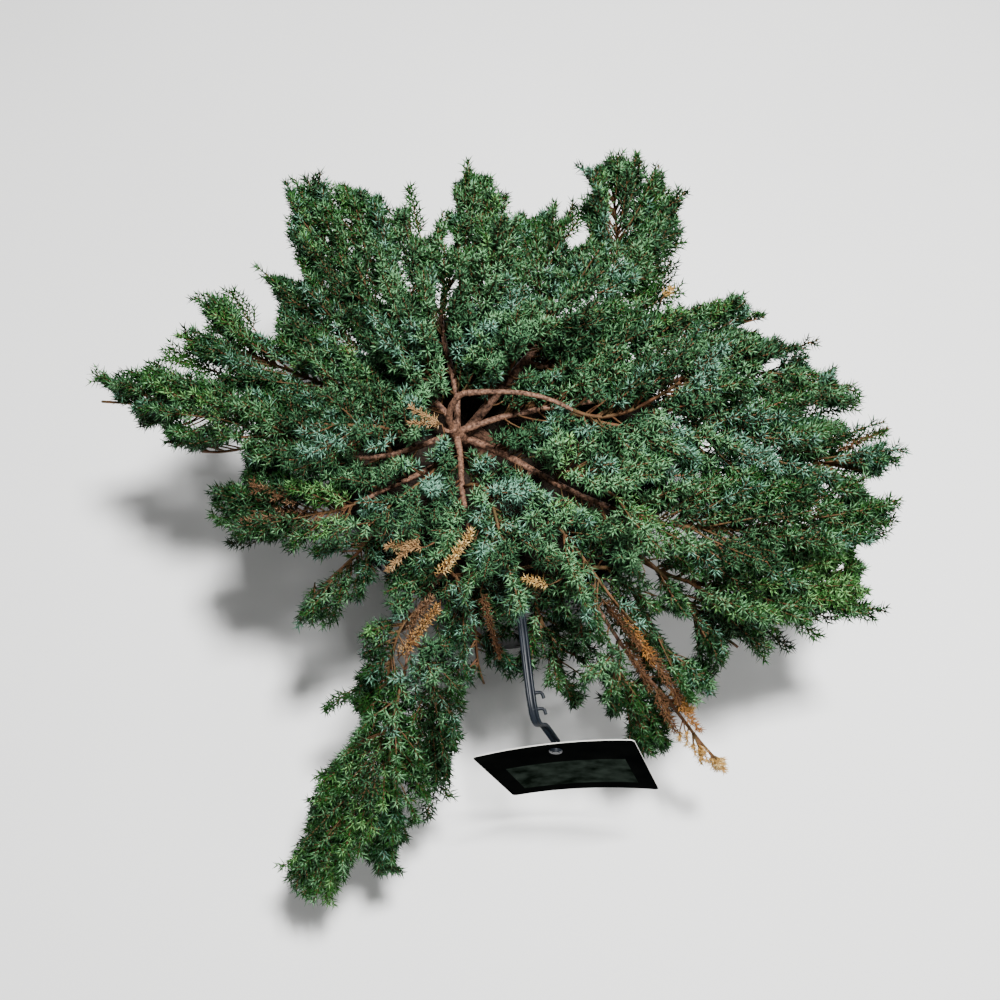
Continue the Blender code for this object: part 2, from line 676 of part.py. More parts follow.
class Crown:
    """All routes, and the tests that keep each mass in its own space."""

    def __init__(self, limbs, stems, spreads, fixtures):
        self.limb_points, self.limb_radii = self.pool(limbs.values(), 0.003)
        self.names = list(stems)
        self.holder_points, _ = Route(fixtures, np.zeros(len(fixtures))).samples(0.004)
        self.card = np.array(card_frame().inverted())
        self.shown_points, _ = self.pool([limbs[name] for name in SHOWN_LIMBS], 0.004)
        axes, self.stem_points, self.stem_radii = [], [], []
        for name in self.names:
            points, radii = stems[name].samples(0.004)
            self.stem_points.append(points)
            self.stem_radii.append(radii)
            axes.append(points[int(len(points) * SPACE_FROM):])
        self.axis_points = np.concatenate(axes)
        self.owners = np.repeat(np.arange(len(axes)), [len(axis) for axis in axes])
        self.weights = np.array([spreads[name] for name in self.names])[self.owners] * 0.5

    @staticmethod
    def pool(routes, step):
        sampled = [route.samples(step) for route in routes]
        return np.concatenate([item[0] for item in sampled]), np.concatenate([item[1] for item in sampled])

    def fits(self, points, owner):
        mine = self.names.index(owner)
        return (self.clear_of_pot(points) and self.clear_of_limbs(points) and self.clear_of_label(points)
                and self.in_own_space(points, mine) and self.clear_of_stems(points, mine))

    def in_own_space(self, points, mine):
        apart = distances(points, self.axis_points) - self.weights
        own = self.owners == mine
        return bool(np.all(apart[:, own].min(axis=1) + SPACE_MARGIN < apart[:, ~own].min(axis=1)))

    def clear_of_stems(self, points, mine):
        others = [number for number in range(len(self.names)) if number != mine]
        stems = np.concatenate([self.stem_points[number] for number in others])
        radii = np.concatenate([self.stem_radii[number] for number in others])
        return (distances(points, stems) - radii).min() > LIMB_MARGIN

    def clear_of_limbs(self, points):
        if (distances(points, self.limb_points) - self.limb_radii).min() < LIMB_MARGIN:
            return False
        level = distances(points[:, :2], self.shown_points[:, :2])
        above = points[:, None, 2] > self.shown_points[None, :, 2]
        return not bool(np.any(above & (level < SHOW_WIDTH)))

    @staticmethod
    def clear_of_pot(points):
        reach = np.linalg.norm(points[:, :2], axis=1)
        height = points[:, 2]
        beside = reach > wall_radius(height) + POT_LIP_OUT + POT_MARGIN
        over = height > POT_HEIGHT + POT_MARGIN
        inside = (height > SOIL_LEVEL + POT_MARGIN) & (reach < wall_radius(SOIL_LEVEL) - POT_WALL - POT_MARGIN)
        return bool(np.all((beside | over | inside) & (height > GROUND_MARGIN)))

    def clear_of_label(self, points):
        if distances(points, self.holder_points).min() < HOLDER_BAR + CARD_MARGIN:
            return False
        flat = points @ self.card[:3, :3].T + self.card[:3, 3]
        inside = ((abs(flat[:, 0]) < CARD_WIDTH / 2 + CARD_MARGIN)
                  & (abs(flat[:, 1]) < CARD_BOW + BUTTON_THICK + CARD_MARGIN)
                  & (flat[:, 2] < CARD_MARGIN) & (flat[:, 2] > -CARD_HEIGHT - CARD_MARGIN))
        return not bool(inside.any())


def distances(points, others):
    """Distance of each point to each of the others."""
    return np.sqrt(((points[:, None] - others[None]) ** 2).sum(axis=2))


def fullness(share):
    """How wide a mass is along its stem: widest before its middle, then narrowing to its tip."""
    return mix(TIP_FULLNESS, 1, math.sin(math.pi * mix(0.15, 1, share)) ** 0.7)


def side_twig(mass, stem, number, count, dice):
    """The side twig of a mass by the rule: root, roll round the stem, angle to it, and length."""
    share = mix(0.10, 0.90, (number + 0.5) / count)
    roll = ROLLS[number % len(ROLLS)] + dice.uniform(-ROLL_SPREAD, ROLL_SPREAD)
    angle = math.radians(mix(ANGLE_NEAR, ANGLE_FAR, share))
    length = mass.spread / 1000 * fullness(share) / math.sin(angle) * dice.uniform(0.9, 1.1)
    ahead_room = ((1 - share) * stem.length + 0.004) / math.cos(angle)
    return share, roll, angle, min(length, ahead_room)


def twig_at(stem, share, roll, angle, length, lean):
    """The spray of a side twig that leaves the stem by its roll and angle."""
    ahead = stem.way(share)
    level = unit(np.cross(ahead, np.array((0, 0, 1))))
    over = np.cross(level, ahead)
    out = level * math.cos(math.radians(roll)) + over * math.sin(math.radians(roll))
    way = ahead * math.cos(angle) + out * math.sin(angle)
    up = unit(np.cross(np.cross(way, over + out * lean), way))
    half = min(SPRAY_HALF, length * SPRAY_SLIMNESS)
    bays = TWIG_BAYS if length > SHORT_TWIG else TWIG_BAYS - 1
    return Spray(stem.place(share), way, ahead, up, length, half, bays, TWIG_BARE)


def tip_start(stem):
    """The share of a stem where its tip spray begins."""
    return max(0.3, 1 - TIP_LENGTH / stem.length)


def tip_spray(stem, spread):
    """The spray that carries the stem on to the mass's tip."""
    first = tip_start(stem)
    ahead = stem.way(mix(first, 1, 0.5))
    over = np.cross(unit(np.cross(ahead, np.array((0, 0, 1)))), ahead)
    half = min(TIP_HALF, spread * 0.6)
    spray = Spray(stem.place(first), ahead, ahead, over, 1, half, TIP_BAYS, TIP_BARE)
    steps = np.linspace(first, 1, len(spray.route.radii))
    spray.route = Route(np.array([stem.place(share) for share in steps]), spray.route.radii)
    return spray


def grow_mass(mass, stem, crown):
    """One stem with side twigs by the seeded rule, each a toothed spray, joined as one body."""
    dice = random.Random(SEED + mass.name)
    end = tip_start(stem) + STEM_OVERLAP
    points = np.array([stem.place(share) for share in np.linspace(0, end, STEM_RINGS + 1)])
    radii = [stem.radius(share) for share in np.linspace(0, end, STEM_RINGS)] + [STEM_POINT_RADIUS]
    body = make_object(mass.name, tube_bm(points, radii, STEM_SIDES, first_way=stem.leave), mass.tint)
    sprays = [tip_spray(stem, mass.spread / 1000)]
    taken = sprays[0].space()
    count = max(3, round(stem.length / TWIG_STEP))
    for number in range(count):
        share, roll, angle, length = side_twig(mass, stem, number, count, dice)
        lean = dice.uniform(-0.5, 0.5)
        for shrink, turn in ((shrink, turn) for shrink in SHRINKS for turn in ROLL_TRIES):
            twig = twig_at(stem, share, roll + turn, angle, length * shrink, lean)
            outer = twig.space(SIBLING_FROM)
            if distances(outer, taken).min() > SIBLING_MARGIN and crown.fits(twig.space(), mass.name):
                sprays.append(twig)
                taken = np.concatenate((taken, outer))
                break
    fuse(body, [spray.build() for spray in sprays])
    return body


def main():
    clear_scene()
    make_pot()
    make_holder()
    make_card()
    make_soil(leg_cutter())
    trunk = trunk_route()
    up = np.array((0.0, 0.0, 1.0))
    make_object("trunk", tube_bm(trunk.points, trunk.radii, TRUNK_SIDES, first_way=up, lobes=trunk_lobes),
                "bark", smooth_angle=50)
    routes = {"trunk": trunk}
    waiting = list(LIMBS)
    while waiting:
        limb = waiting.pop(0)
        if limb.parent not in routes:
            waiting.append(limb)
            continue
        routes[limb.name] = limb_route(limb, routes[limb.parent])
    for limb in LIMBS:
        route = routes[limb.name]
        bough = tube_bm(route.points, route.radii, LIMB_SIDES, first_way=route.leave)
        make_object(limb.name, bough, "bark", smooth_angle=50)
    stems = {mass.name: stem_route(mass, routes[mass.parent]) for mass in MASSES}
    spreads = {mass.name: mass.spread / 1000 for mass in MASSES}
    crown = Crown(routes, stems, spreads, holder_route())
    for mass in MASSES:
        grow_mass(mass, stems[mass.name], crown)


main()
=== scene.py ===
import json
import math
import random
from collections import namedtuple

import bmesh
import bpy
import numpy as np
from mathutils import Matrix, Vector, noise

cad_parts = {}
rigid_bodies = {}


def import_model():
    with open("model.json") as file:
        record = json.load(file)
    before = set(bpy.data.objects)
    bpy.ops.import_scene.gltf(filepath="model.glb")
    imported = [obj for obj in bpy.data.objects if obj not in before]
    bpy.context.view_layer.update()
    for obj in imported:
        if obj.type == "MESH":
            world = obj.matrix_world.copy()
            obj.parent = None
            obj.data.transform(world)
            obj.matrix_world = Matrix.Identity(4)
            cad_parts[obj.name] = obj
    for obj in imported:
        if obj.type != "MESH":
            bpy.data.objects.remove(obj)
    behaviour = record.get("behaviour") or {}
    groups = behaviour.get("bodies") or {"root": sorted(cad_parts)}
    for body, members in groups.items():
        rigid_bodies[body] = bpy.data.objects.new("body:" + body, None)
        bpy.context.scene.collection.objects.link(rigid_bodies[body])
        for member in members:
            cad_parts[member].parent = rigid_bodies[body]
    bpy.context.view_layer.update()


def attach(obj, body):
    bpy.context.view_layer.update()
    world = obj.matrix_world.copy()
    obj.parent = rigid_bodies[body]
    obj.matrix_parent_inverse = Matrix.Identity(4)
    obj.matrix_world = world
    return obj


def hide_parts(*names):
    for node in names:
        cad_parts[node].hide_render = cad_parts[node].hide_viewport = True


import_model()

mm = 0.001
gap = 0.0003
probeStep = 0.004       # between the points that stand for a twig or stem
skyUp = np.array((0.0, 0.0, 1.0))
photoLift = math.radians(67)    # how high the photo looks down from
view = {"aim": (0, -0.043, 0.225), "away": 0.90, "lens": 39.6, "sensor": 36, "pixels": 1000}
eye = np.array(view["aim"]) + view["away"] * np.array((0, -math.cos(photoLift), math.sin(photoLift)))

# Sizes of the pot, the compost and the label, as the solids have them
pot = {
    "height": 0.225, "rim": 0.141, "base": 0.1075, "wall": 0.0025, "lipDepth": 0.020, "lipOut": 0.0035,
    "soil": 0.208, "soilDip": 0.004, "segments": 120, "edge": 0.0012,
}
card = {
    "width": 0.125, "height": 0.120, "thick": 0.0009, "bow": 0.004, "twist": 0.0035, "corner": 0.004,
    "top": (0.039, -0.240, 0.218), "roll": 16, "lean": 7.5, "holeDrop": 0.013,
}
holder = {
    "foot": (0.012, -0.122, 0.170), "rise": (0.013, -0.126, 0.232), "over": (0.0165, -0.150, 0.242),
    "bend": (0.0250, -0.221, 0.240), "bar": 0.0050, "rod": 0.0015, "rodApart": 0.0021, "web": 0.35,
    "hook": 0.009, "hookBar": 0.0013, "hooksAt": (0.80, 0.97), "button": 0.0052, "buttonThick": 0.0024,
}
trunk = {
    "foot": (-0.019, 0.012), "top": (-0.039, 0.002, 0.269), "topWay": (-0.30, 0.20, 0.93), "radius": 0.0080,
    "tipRadius": 0.0060, "flare": 0.0160, "flareRise": 0.28, "lobes": 4, "lobeDepth": 0.14, "rings": 8,
}

# The rule that the solids grow by: stems, side twigs, sprays and the space each mass keeps
rule = {
    "limbRings": 6, "stemRadius": 0.0019, "stemTip": 0.0013, "stemRings": 5, "pull": 0.36,
    "dropLift": 0.55, "riseLift": 0.25, "sideGap": 0.00035, "twigStep": 0.025, "twigBare": 0.20,
    "tipLength": 0.075, "tipBare": 0.16, "tipFullness": 0.35, "slimness": 0.36, "sprayHalf": 0.024,
    "tipHalf": 0.018, "bareHalf": 0.0013, "shrinks": (1.0, 0.82, 0.66, 0.52, 0.40),
    "rolls": (8, 172, 18, 160, 80), "rollSpread": 10, "rollTries": (0, 24, -24, 180, 156, 70),
    "angleNear": 60, "angleFar": 36, "upturn": 0.16, "sampleStep": 0.004, "limbMargin": 0.0022,
    "spaceMargin": 0.0020, "spaceFrom": 0.22, "siblingMargin": 0.0015, "siblingFrom": 0.45,
    "potMargin": 0.003, "cardMargin": 0.004, "groundMargin": 0.006, "showWidth": 0.0075,
    "widthAtBare": 0.55, "widthRise": 2.2, "widthFall": 0.80, "leanForward": 0.35,
    "seed": "carpet juniper",
}

Limb = namedtuple("Limb", "name parent along heading reach height root tip turn pitch")
limbs = (
    Limb("bough_hook", "trunk", 1.0, 146, 27, 301, 2.8, 2.3, -52, 0),
    Limb("bough_arch", "bough_hook", 1.0, 2, 56, 297, 2.2, 1.6, -22, -8),
    Limb("bough_east", "trunk", 0.84, 17, 160, 272, 2.7, 1.6, 12, 4),
    Limb("bough_northeast", "trunk", 0.66, 56, 134, 276, 4.2, 2.1, -14, 6),
    Limb("bough_east_northeast", "bough_northeast", 0.50, 34, 120, 274, 2.3, 1.6, -10, 6),
    Limb("bough_north", "trunk", 0.84, 105, 140, 284, 2.6, 1.6, -46, 10),
    Limb("bough_north_northwest", "bough_northwest", 0.50, 120, 136, 272, 2.0, 1.5, -18, 10),
    Limb("bough_northwest", "trunk", 0.64, 141, 132, 264, 3.0, 1.7, -6, 6),
    Limb("bough_west", "trunk", 0.84, 186, 136, 256, 2.6, 1.6, -34, 2),
    Limb("bough_southwest", "trunk", 0.62, 208, 122, 258, 2.4, 1.6, -10, -6),
    Limb("bough_south", "trunk", 0.86, 252, 80, 270, 2.6, 1.9, 12, -6),
    Limb("bough_south_southwest", "bough_south", 1.0, 247, 140, 248, 1.9, 1.6, -10, -26),
    Limb("bough_tail", "bough_south_southwest", 1.0, 248, 218, 196, 1.6, 1.3, -8, -26),
    Limb("bough_southeast", "trunk", 0.64, 318, 111, 285, 3.3, 2.0, 12, 4),
    Limb("bough_southeast_low", "bough_southeast", 0.90, 317, 152, 246, 1.9, 1.5, 4, -12),
    Limb("bough_south_southeast", "bough_southeast", 0.48, 297, 150, 250, 2.2, 1.6, 10, -20),
    Limb("bough_dead", "bough_south_southeast", 1.0, 304, 226, 178, 1.6, 1.3, 4, -26),
)
shownLimbs = ("bough_hook", "bough_arch", "bough_southeast", "bough_south", "bough_north")

Mass = namedtuple("Mass", "name parent along heading reach height turn pitch spread tint")
# Masses with the darkest tint, mostly low in or under the crown, carry painted shade in their needle colour
masses = (
    Mass("mass_west_tip", "bough_west", 1.0, 173, 336, 238, 14, 2, 40, "green"),
    Mass("mass_west_under", "bough_west", 0.80, 178, 254, 208, -4, -10, 42, "deep"),
    Mass("mass_west_northwest", "bough_west", 0.50, 156, 268, 254, -14, 8, 50, "green"),
    Mass("mass_southwest", "bough_southwest", 1.0, 189, 212, 216, -22, -8, 46, "deep"),
    Mass("mass_southwest_under", "bough_southwest", 0.90, 218, 196, 190, 0, -66, 34, "blue"),
    Mass("mass_northwest_low", "bough_northwest", 0.86, 143, 244, 244, 6, -6, 46, "deep"),
    Mass("mass_northwest", "bough_northwest", 1.0, 127, 274, 274, -6, 6, 46, "green"),
    Mass("mass_northwest_high", "bough_north_northwest", 0.72, 122, 244, 290, -4, 10, 50, "green"),
    Mass("mass_north_northwest", "bough_north_northwest", 1.0, 111, 212, 296, -14, 14, 48, "green"),
    Mass("mass_north", "bough_north", 1.0, 95, 213, 300, -8, 14, 50, "green"),
    Mass("mass_north_northeast", "bough_northeast", 0.72, 78, 195, 284, 6, 12, 52, "deep"),
    Mass("mass_spire", "bough_northeast", 1.0, 67, 237, 312, 14, 20, 46, "green"),
    Mass("mass_spire_east", "bough_northeast", 0.88, 55, 248, 280, -2, 4, 46, "green"),
    Mass("mass_east_northeast", "bough_east_northeast", 1.0, 26, 234, 268, 2, 4, 44, "green"),
    Mass("mass_east_upper", "bough_east", 1.0, 9, 282, 256, -2, 0, 44, "blue"),
    Mass("mass_east", "bough_east", 0.74, 355, 300, 244, 6, 0, 58, "blue"),
    Mass("mass_east_lower", "bough_southeast", 1.0, 350, 296, 228, 8, -8, 60, "green"),
    Mass("mass_southeast", "bough_southeast_low", 1.0, 341, 306, 206, 6, -8, 54, "fresh"),
    Mass("mass_southeast_under", "bough_southeast_low", 0.56, 322, 248, 174, 0, -24, 50, "deep"),
    Mass("mass_south_southeast", "bough_south_southeast", 0.84, 313, 238, 156, 14, -34, 48, "green"),
    Mass("mass_dead_under", "bough_dead", 0.42, 300, 240, 116, -6, -40, 44, "deep"),
    Mass("mass_dead_tip", "bough_dead", 1.0, 308, 304, 118, 4, -26, 16, "gold"),
    Mass("mass_south", "bough_south_southeast", 0.62, 286, 199, 172, -2, -48, 42, "deep"),
    Mass("mass_tail_left", "bough_tail", 0.20, 244, 250, 150, -10, -34, 36, "green"),
    Mass("mass_tail_right", "bough_south_southwest", 0.66, 266, 184, 176, 10, -52, 46, "blue"),
    Mass("mass_tail_middle", "bough_tail", 0.45, 257, 244, 130, 6, -40, 42, "deep"),
    Mass("mass_tail_end", "bough_tail", 1.0, 244, 360, 92, -4, -26, 46, "fresh"),
    Mass("mass_tail_end_right", "bough_tail", 0.72, 252, 330, 92, 2, -36, 38, "green"),
    Mass("crown_west", "bough_west", 0.30, 184, 146, 300, -6, 10, 50, "blue"),
    Mass("crown_northwest", "bough_northwest", 0.32, 136, 164, 312, 4, 14, 50, "green"),
    Mass("crown_north", "bough_north", 0.44, 90, 146, 326, 8, 18, 46, "green"),
    Mass("crown_northeast", "bough_northeast", 0.34, 57, 144, 324, -6, 16, 50, "green"),
    Mass("crown_east", "bough_arch", 1.0, 12, 170, 314, 8, 8, 52, "blue"),
    Mass("crown_east_low", "bough_east", 0.44, 349, 162, 298, -10, 8, 48, "blue"),
    Mass("crown_southeast", "bough_southeast", 0.66, 320, 180, 300, -6, 0, 50, "green"),
    Mass("crown_south_southeast", "bough_south_southeast", 0.36, 302, 186, 262, 2, -10, 44, "green"),
    Mass("crown_south", "bough_south", 0.66, 277, 156, 290, 12, 0, 52, "blue"),
    Mass("crown_southwest", "bough_southwest", 0.34, 224, 150, 288, 4, 4, 52, "blue"),
)


def unit(vector):
    return vector / np.linalg.norm(vector)


def unitRows(vectors):
    return vectors / np.linalg.norm(vectors, axis=1)[:, None]


def mix(near, far, share):
    return near + (far - near) * share


def headingWay(heading, pitch):
    turn, rise = math.radians(heading), math.radians(pitch)
    return np.array((math.cos(turn) * math.cos(rise), math.sin(turn) * math.cos(rise), math.sin(rise)))


def spot(heading, reach, height):
    turn = math.radians(heading)
    return np.array((reach * math.cos(turn), reach * math.sin(turn), height)) / 1000


def distances(points, others):
    return np.sqrt(((points[:, None] - others[None]) ** 2).sum(axis=2))


def bend(start, leave, end, arrive, steps):
    pull = rule["pull"] * np.linalg.norm(end - start)
    share = np.linspace(0, 1, steps + 1)[:, None]
    rest = 1 - share
    near, far = start + leave * pull, end - arrive * pull
    return rest**3 * start + 3 * rest**2 * share * near + 3 * rest * share**2 * far + share**3 * end


class Route:
    # points along a limb or stem, with the radius at each

    def __init__(self, points, radii, leave=None):
        self.points = points
        self.radii = radii
        self.leave = leave
        steps = np.linalg.norm(np.diff(points, axis=0), axis=1)
        self.length = steps.sum()
        self.shares = np.concatenate(([0], np.cumsum(steps))) / self.length

    def place(self, share):
        return np.array([np.interp(share, self.shares, self.points[:, axis]) for axis in range(3)])

    def way(self, share):
        if share >= 1:
            return unit(self.points[-1] - self.points[-2])
        return unit(self.place(min(1.0, share + 0.04)) - self.place(max(0.0, share - 0.04)))

    def radius(self, share):
        return float(np.interp(share, self.shares, self.radii))

    def samples(self, step):
        shares = np.linspace(0, 1, max(2, int(self.length / step) + 2))
        points = np.stack([np.interp(shares, self.shares, self.points[:, axis]) for axis in range(3)], axis=1)
        return points, np.interp(shares, self.shares, self.radii)


def wallRadius(height):
    return mix(pot["base"], pot["rim"] - pot["lipOut"], height / pot["height"])


def cardFrame():
    roll = Matrix.Rotation(math.radians(card["roll"]), 4, "Y").inverted()
    lean = Matrix.Rotation(math.radians(card["lean"]), 4, "X").inverted()
    return Matrix.Translation(card["top"]) @ roll @ lean


def holderRoute():
    place = cardFrame()
    back = place @ Vector((0, card["thick"] + gap + holder["bar"], -card["holeDrop"]))
    drop = place @ Vector((-0.004, 0.012, 0.006))
    route = [holder["foot"], holder["rise"], holder["over"], holder["bend"], tuple(drop), tuple(back)]
    return np.array(route)


def trunkRoute():
    foot = np.array((*trunk["foot"], pot["soil"] + gap))
    points = bend(foot, skyUp, np.array(trunk["top"]), unit(np.array(trunk["topWay"])), trunk["rings"])
    shares = np.linspace(0, 1, trunk["rings"] + 1)
    flare = (trunk["flare"] - trunk["radius"]) * np.clip(1 - shares / trunk["flareRise"], 0, 1) ** 1.6
    return Route(points, mix(trunk["radius"], trunk["tipRadius"], shares) + flare)


def startOn(parent, along, target):
    # where a limb or stem leaves its parent, and the way it goes there
    if along >= 1:
        way = parent.way(1)
        return parent.place(1) + way * gap, way
    axis, way = parent.place(along), parent.way(along)
    chord = target - axis
    chord[2] += (rule["dropLift"] if chord[2] < 0 else rule["riseLift"]) * np.linalg.norm(chord)
    out = unit(chord - way * chord.dot(way))
    return axis + out * (parent.radius(along) + rule["sideGap"]), out


def growRoute(item, parent, rings, root, tip):
    target = spot(item.heading, item.reach, item.height)
    start, leave = startOn(parent, item.along, target)
    chord = target - start
    heading = math.degrees(math.atan2(chord[1], chord[0])) + item.turn
    points = bend(start, leave, target, headingWay(heading, item.pitch), rings)
    return Route(points, mix(root, tip, np.linspace(0, 1, rings + 1)), leave)


class Spray:
    # a side twig and the flat space that its shoots fill

    def __init__(self, root, way, forward, up, length, half, bare):
        steps = np.linspace(0, 1, 7)[:, None]
        end = root + unit(way + forward * rule["leanForward"] + np.array((0, 0, rule["upturn"]))) * length
        middle = root + way * length * 0.5
        curve = (1 - steps) ** 2 * root + 2 * (1 - steps) * steps * middle + steps**2 * end
        self.route = Route(curve, np.full(7, rule["bareHalf"]))
        self.up = up
        self.size = 1.0     # of its shoots
        self.half = half
        self.bare = bare

    def width(self, share):
        if share < self.bare:
            return rule["bareHalf"]
        along = (share - self.bare) / (1 - self.bare)
        full = min(1.0, rule["widthAtBare"] + rule["widthRise"] * along)
        return self.half * full * (1 - rule["widthFall"] * along**2)

    def frame(self, share):
        way = self.route.way(share)
        side = unit(np.cross(way, self.up))
        return way, side, np.cross(side, way)

    def space(self, first=0.12):
        points = []
        for share in np.linspace(first, 1, int(self.route.length / rule["sampleStep"]) + 2):
            centre = self.route.place(share)
            way, side, up = self.frame(share)
            reach = self.width(share) + 0.001
            for across in np.linspace(-reach, reach, 2 * int(reach / rule["sampleStep"]) + 3):
                points.append(centre + side * across + way * 0.3 * abs(across))
        return np.array(points)


class Crown:
    # every route, and the tests that keep each mass in its own space

    def __init__(self, routes, stems, fixtures):
        self.limbPoints, self.limbRadii = self.pool(routes.values(), 0.003)
        self.names = list(stems)
        self.holderPoints, _ = Route(fixtures, np.zeros(len(fixtures))).samples(probeStep)
        self.cardPlane = np.array(cardFrame().inverted())
        self.shownPoints, _ = self.pool([routes[name] for name in shownLimbs], probeStep)
        axes, self.stemPoints, self.stemRadii = [], [], []
        for name in self.names:
            points, radii = stems[name].samples(probeStep)
            self.stemPoints.append(points)
            self.stemRadii.append(radii)
            axes.append(points[int(len(points) * rule["spaceFrom"]):])
        self.axisPoints = np.concatenate(axes)
        self.owners = np.repeat(np.arange(len(axes)), [len(axis) for axis in axes])
        self.weights = np.array([mass.spread / 1000 for mass in masses])[self.owners] * 0.5

    @staticmethod
    def pool(routes, step):
        sampled = [route.samples(step) for route in routes]
        return np.concatenate([item[0] for item in sampled]), np.concatenate([item[1] for item in sampled])

    def fits(self, points, owner):
        mine = self.names.index(owner)
        return (self.clearOfPot(points).all() and self.clearOfLimbs(points, rule["limbMargin"]).all()
                and self.besideShown(points) and self.clearOfLabel(points).all()
                and self.inOwnSpace(points, mine, rule["spaceMargin"]).all()
                and self.clearOfStems(points, mine))

    def inOwnSpace(self, points, mine, margin):
        apart = distances(points, self.axisPoints) - self.weights
        own = self.owners == mine
        return apart[:, own].min(axis=1) + margin < apart[:, ~own].min(axis=1)

    def clearOfStems(self, points, mine):
        others = [number for number in range(len(self.names)) if number != mine]
        stems = np.concatenate([self.stemPoints[number] for number in others])
        radii = np.concatenate([self.stemRadii[number] for number in others])
        return (distances(points, stems) - radii).min() > rule["limbMargin"]

    def clearOfLimbs(self, points, margin):
        return (distances(points, self.limbPoints) - self.limbRadii).min(axis=1) > margin

    def besideShown(self, points):
        level = distances(points[:, :2], self.shownPoints[:, :2])
        above = points[:, None, 2] > self.shownPoints[None, :, 2]
        return not np.any(above & (level < rule["showWidth"]))

    @staticmethod
    def clearOfPot(points):
        margin = rule["potMargin"]
        reach = np.linalg.norm(points[:, :2], axis=1)
        height = points[:, 2]
        beside = reach > wallRadius(height) + pot["lipOut"] + margin
        over = height > pot["height"] + margin
        inside = (height > pot["soil"] + margin) & (reach < wallRadius(pot["soil"]) - pot["wall"] - margin)
        return (beside | over | inside) & (height > rule["groundMargin"])

    def clearOfLabel(self, points):
        margin = rule["cardMargin"]
        bar = distances(points, self.holderPoints).min(axis=1) > holder["bar"] + margin
        flat = points @ self.cardPlane[:3, :3].T + self.cardPlane[:3, 3]
        inside = ((abs(flat[:, 0]) < card["width"] / 2 + margin)
                  & (abs(flat[:, 1]) < card["bow"] + holder["buttonThick"] + margin)
                  & (flat[:, 2] < margin) & (flat[:, 2] > -card["height"] - margin))
        return bar & ~inside


def fullness(share):
    return mix(rule["tipFullness"], 1, math.sin(math.pi * mix(0.15, 1, share)) ** 0.7)


def sideTwig(mass, stem, number, count, dice):
    share = mix(0.10, 0.90, (number + 0.5) / count)
    roll = rule["rolls"][number % 5] + dice.uniform(-rule["rollSpread"], rule["rollSpread"])
    angle = math.radians(mix(rule["angleNear"], rule["angleFar"], share))
    length = mass.spread / 1000 * fullness(share) / math.sin(angle) * dice.uniform(0.9, 1.1)
    return share, roll, angle, min(length, ((1 - share) * stem.length + 0.004) / math.cos(angle))


def twigAt(stem, share, roll, angle, length, lean):
    ahead = stem.way(share)
    level = unit(np.cross(ahead, skyUp))
    over = np.cross(level, ahead)
    out = level * math.cos(math.radians(roll)) + over * math.sin(math.radians(roll))
    way = ahead * math.cos(angle) + out * math.sin(angle)
    up = unit(np.cross(np.cross(way, over + out * lean), way))
    half = min(rule["sprayHalf"], length * rule["slimness"])
    return Spray(stem.place(share), way, ahead, up, length, half, rule["twigBare"])


def tipSpray(stem, spread):
    first = max(0.3, 1 - rule["tipLength"] / stem.length)
    ahead = stem.way(mix(first, 1, 0.5))
    over = np.cross(unit(np.cross(ahead, skyUp)), ahead)
    half = min(rule["tipHalf"], spread * 0.6)
    spray = Spray(stem.place(first), ahead, ahead, over, 1, half, rule["tipBare"])
    steps = np.linspace(first, 1, len(spray.route.radii))
    spray.route = Route(np.array([stem.place(share) for share in steps]), spray.route.radii)
    return spray


def mainSprays(mass, stem, crown):
    # the same sprays as the solids have, by the same draws
    dice = random.Random(rule["seed"] + mass.name)
    sprays = [tipSpray(stem, mass.spread * mm)]
    taken = sprays[0].space()
    count = max(3, round(stem.length / rule["twigStep"]))
    for number in range(count):
        share, roll, angle, length = sideTwig(mass, stem, number, count, dice)
        lean = dice.uniform(-0.5, 0.5)
        for shrink, turn in ((shrink, turn) for shrink in rule["shrinks"] for turn in rule["rollTries"]):
            twig = twigAt(stem, share, roll + turn, angle, length * shrink, lean)
            outer = twig.space(rule["siblingFrom"])
            if distances(outer, taken).min() > rule["siblingMargin"] and crown.fits(twig.space(), mass.name):
                sprays.append(twig)
                taken = np.concatenate((taken, outer))
                break
    return sprays


# Finer growth that the solids leave out: more twigs, shoots along each, needles in whorls of three
finer = {
    "twigStep": 0.0043, "rounds": 7, "golden": 137.5, "twigLengths": (0.50, 1.10), "spaceSlack": -0.024,
    "outerFrom": 0.62, "outerSkip": 0.15, "outerSize": 0.78, "outerLength": 0.86,
    "limbStep": 0.0060, "limbFrom": 0.16, "limbTwig": (0.028, 0.060), "limbAngle": (42, 66), "laneFrom": 3,
    "coverCell": 0.012, "coverLimit": 18.0, "coverBeside": 0.4, "edgeFrom": 0.12, "edgeWidth": 0.07,
    "edgeCover": 2.4, "shoots": 0.0045, "shootLength": (0.008, 0.018), "shootTaper": (1.05, 0.55),
    "shootAngle": (40, 60), "shootUpturn": 0.65, "upturns": (0.3, 1.3), "shootTurn": 137.5, "turnLoose": 16,
    "shootFlatness": 0.8, "shootOnward": 0.35, "twigRadius": 0.0009, "twigTip": 0.0004,
    "shootRadius": 0.0005, "shootTip": 0.0003, "seed": 2411, "limbMargin": 0.0008, "stemBare": 0.10,
    "mostLost": 0.65, "breakFrom": 0.35, "longestTwig": 0.09, "singleLane": 0.006, "needleReach": 4,
    "singleStep": 0.0034, "singleShoot": (0.008, 0.0035), "deadMass": 0.24, "rollLoose": 20, "lean": 0.6,
}
needle = {
    "whorl": 0.0030, "each": 3, "length": (0.0060, 0.0086), "width": 0.0017, "keel": 0.42, "angle": (46, 68),
    "bareStart": 0.10, "dead": 0.75, "turnLoose": 0.35, "leanLoose": 9, "tipShorter": 0.30, "curl": 0.10,
    "widths": (0.85, 1.15),
}

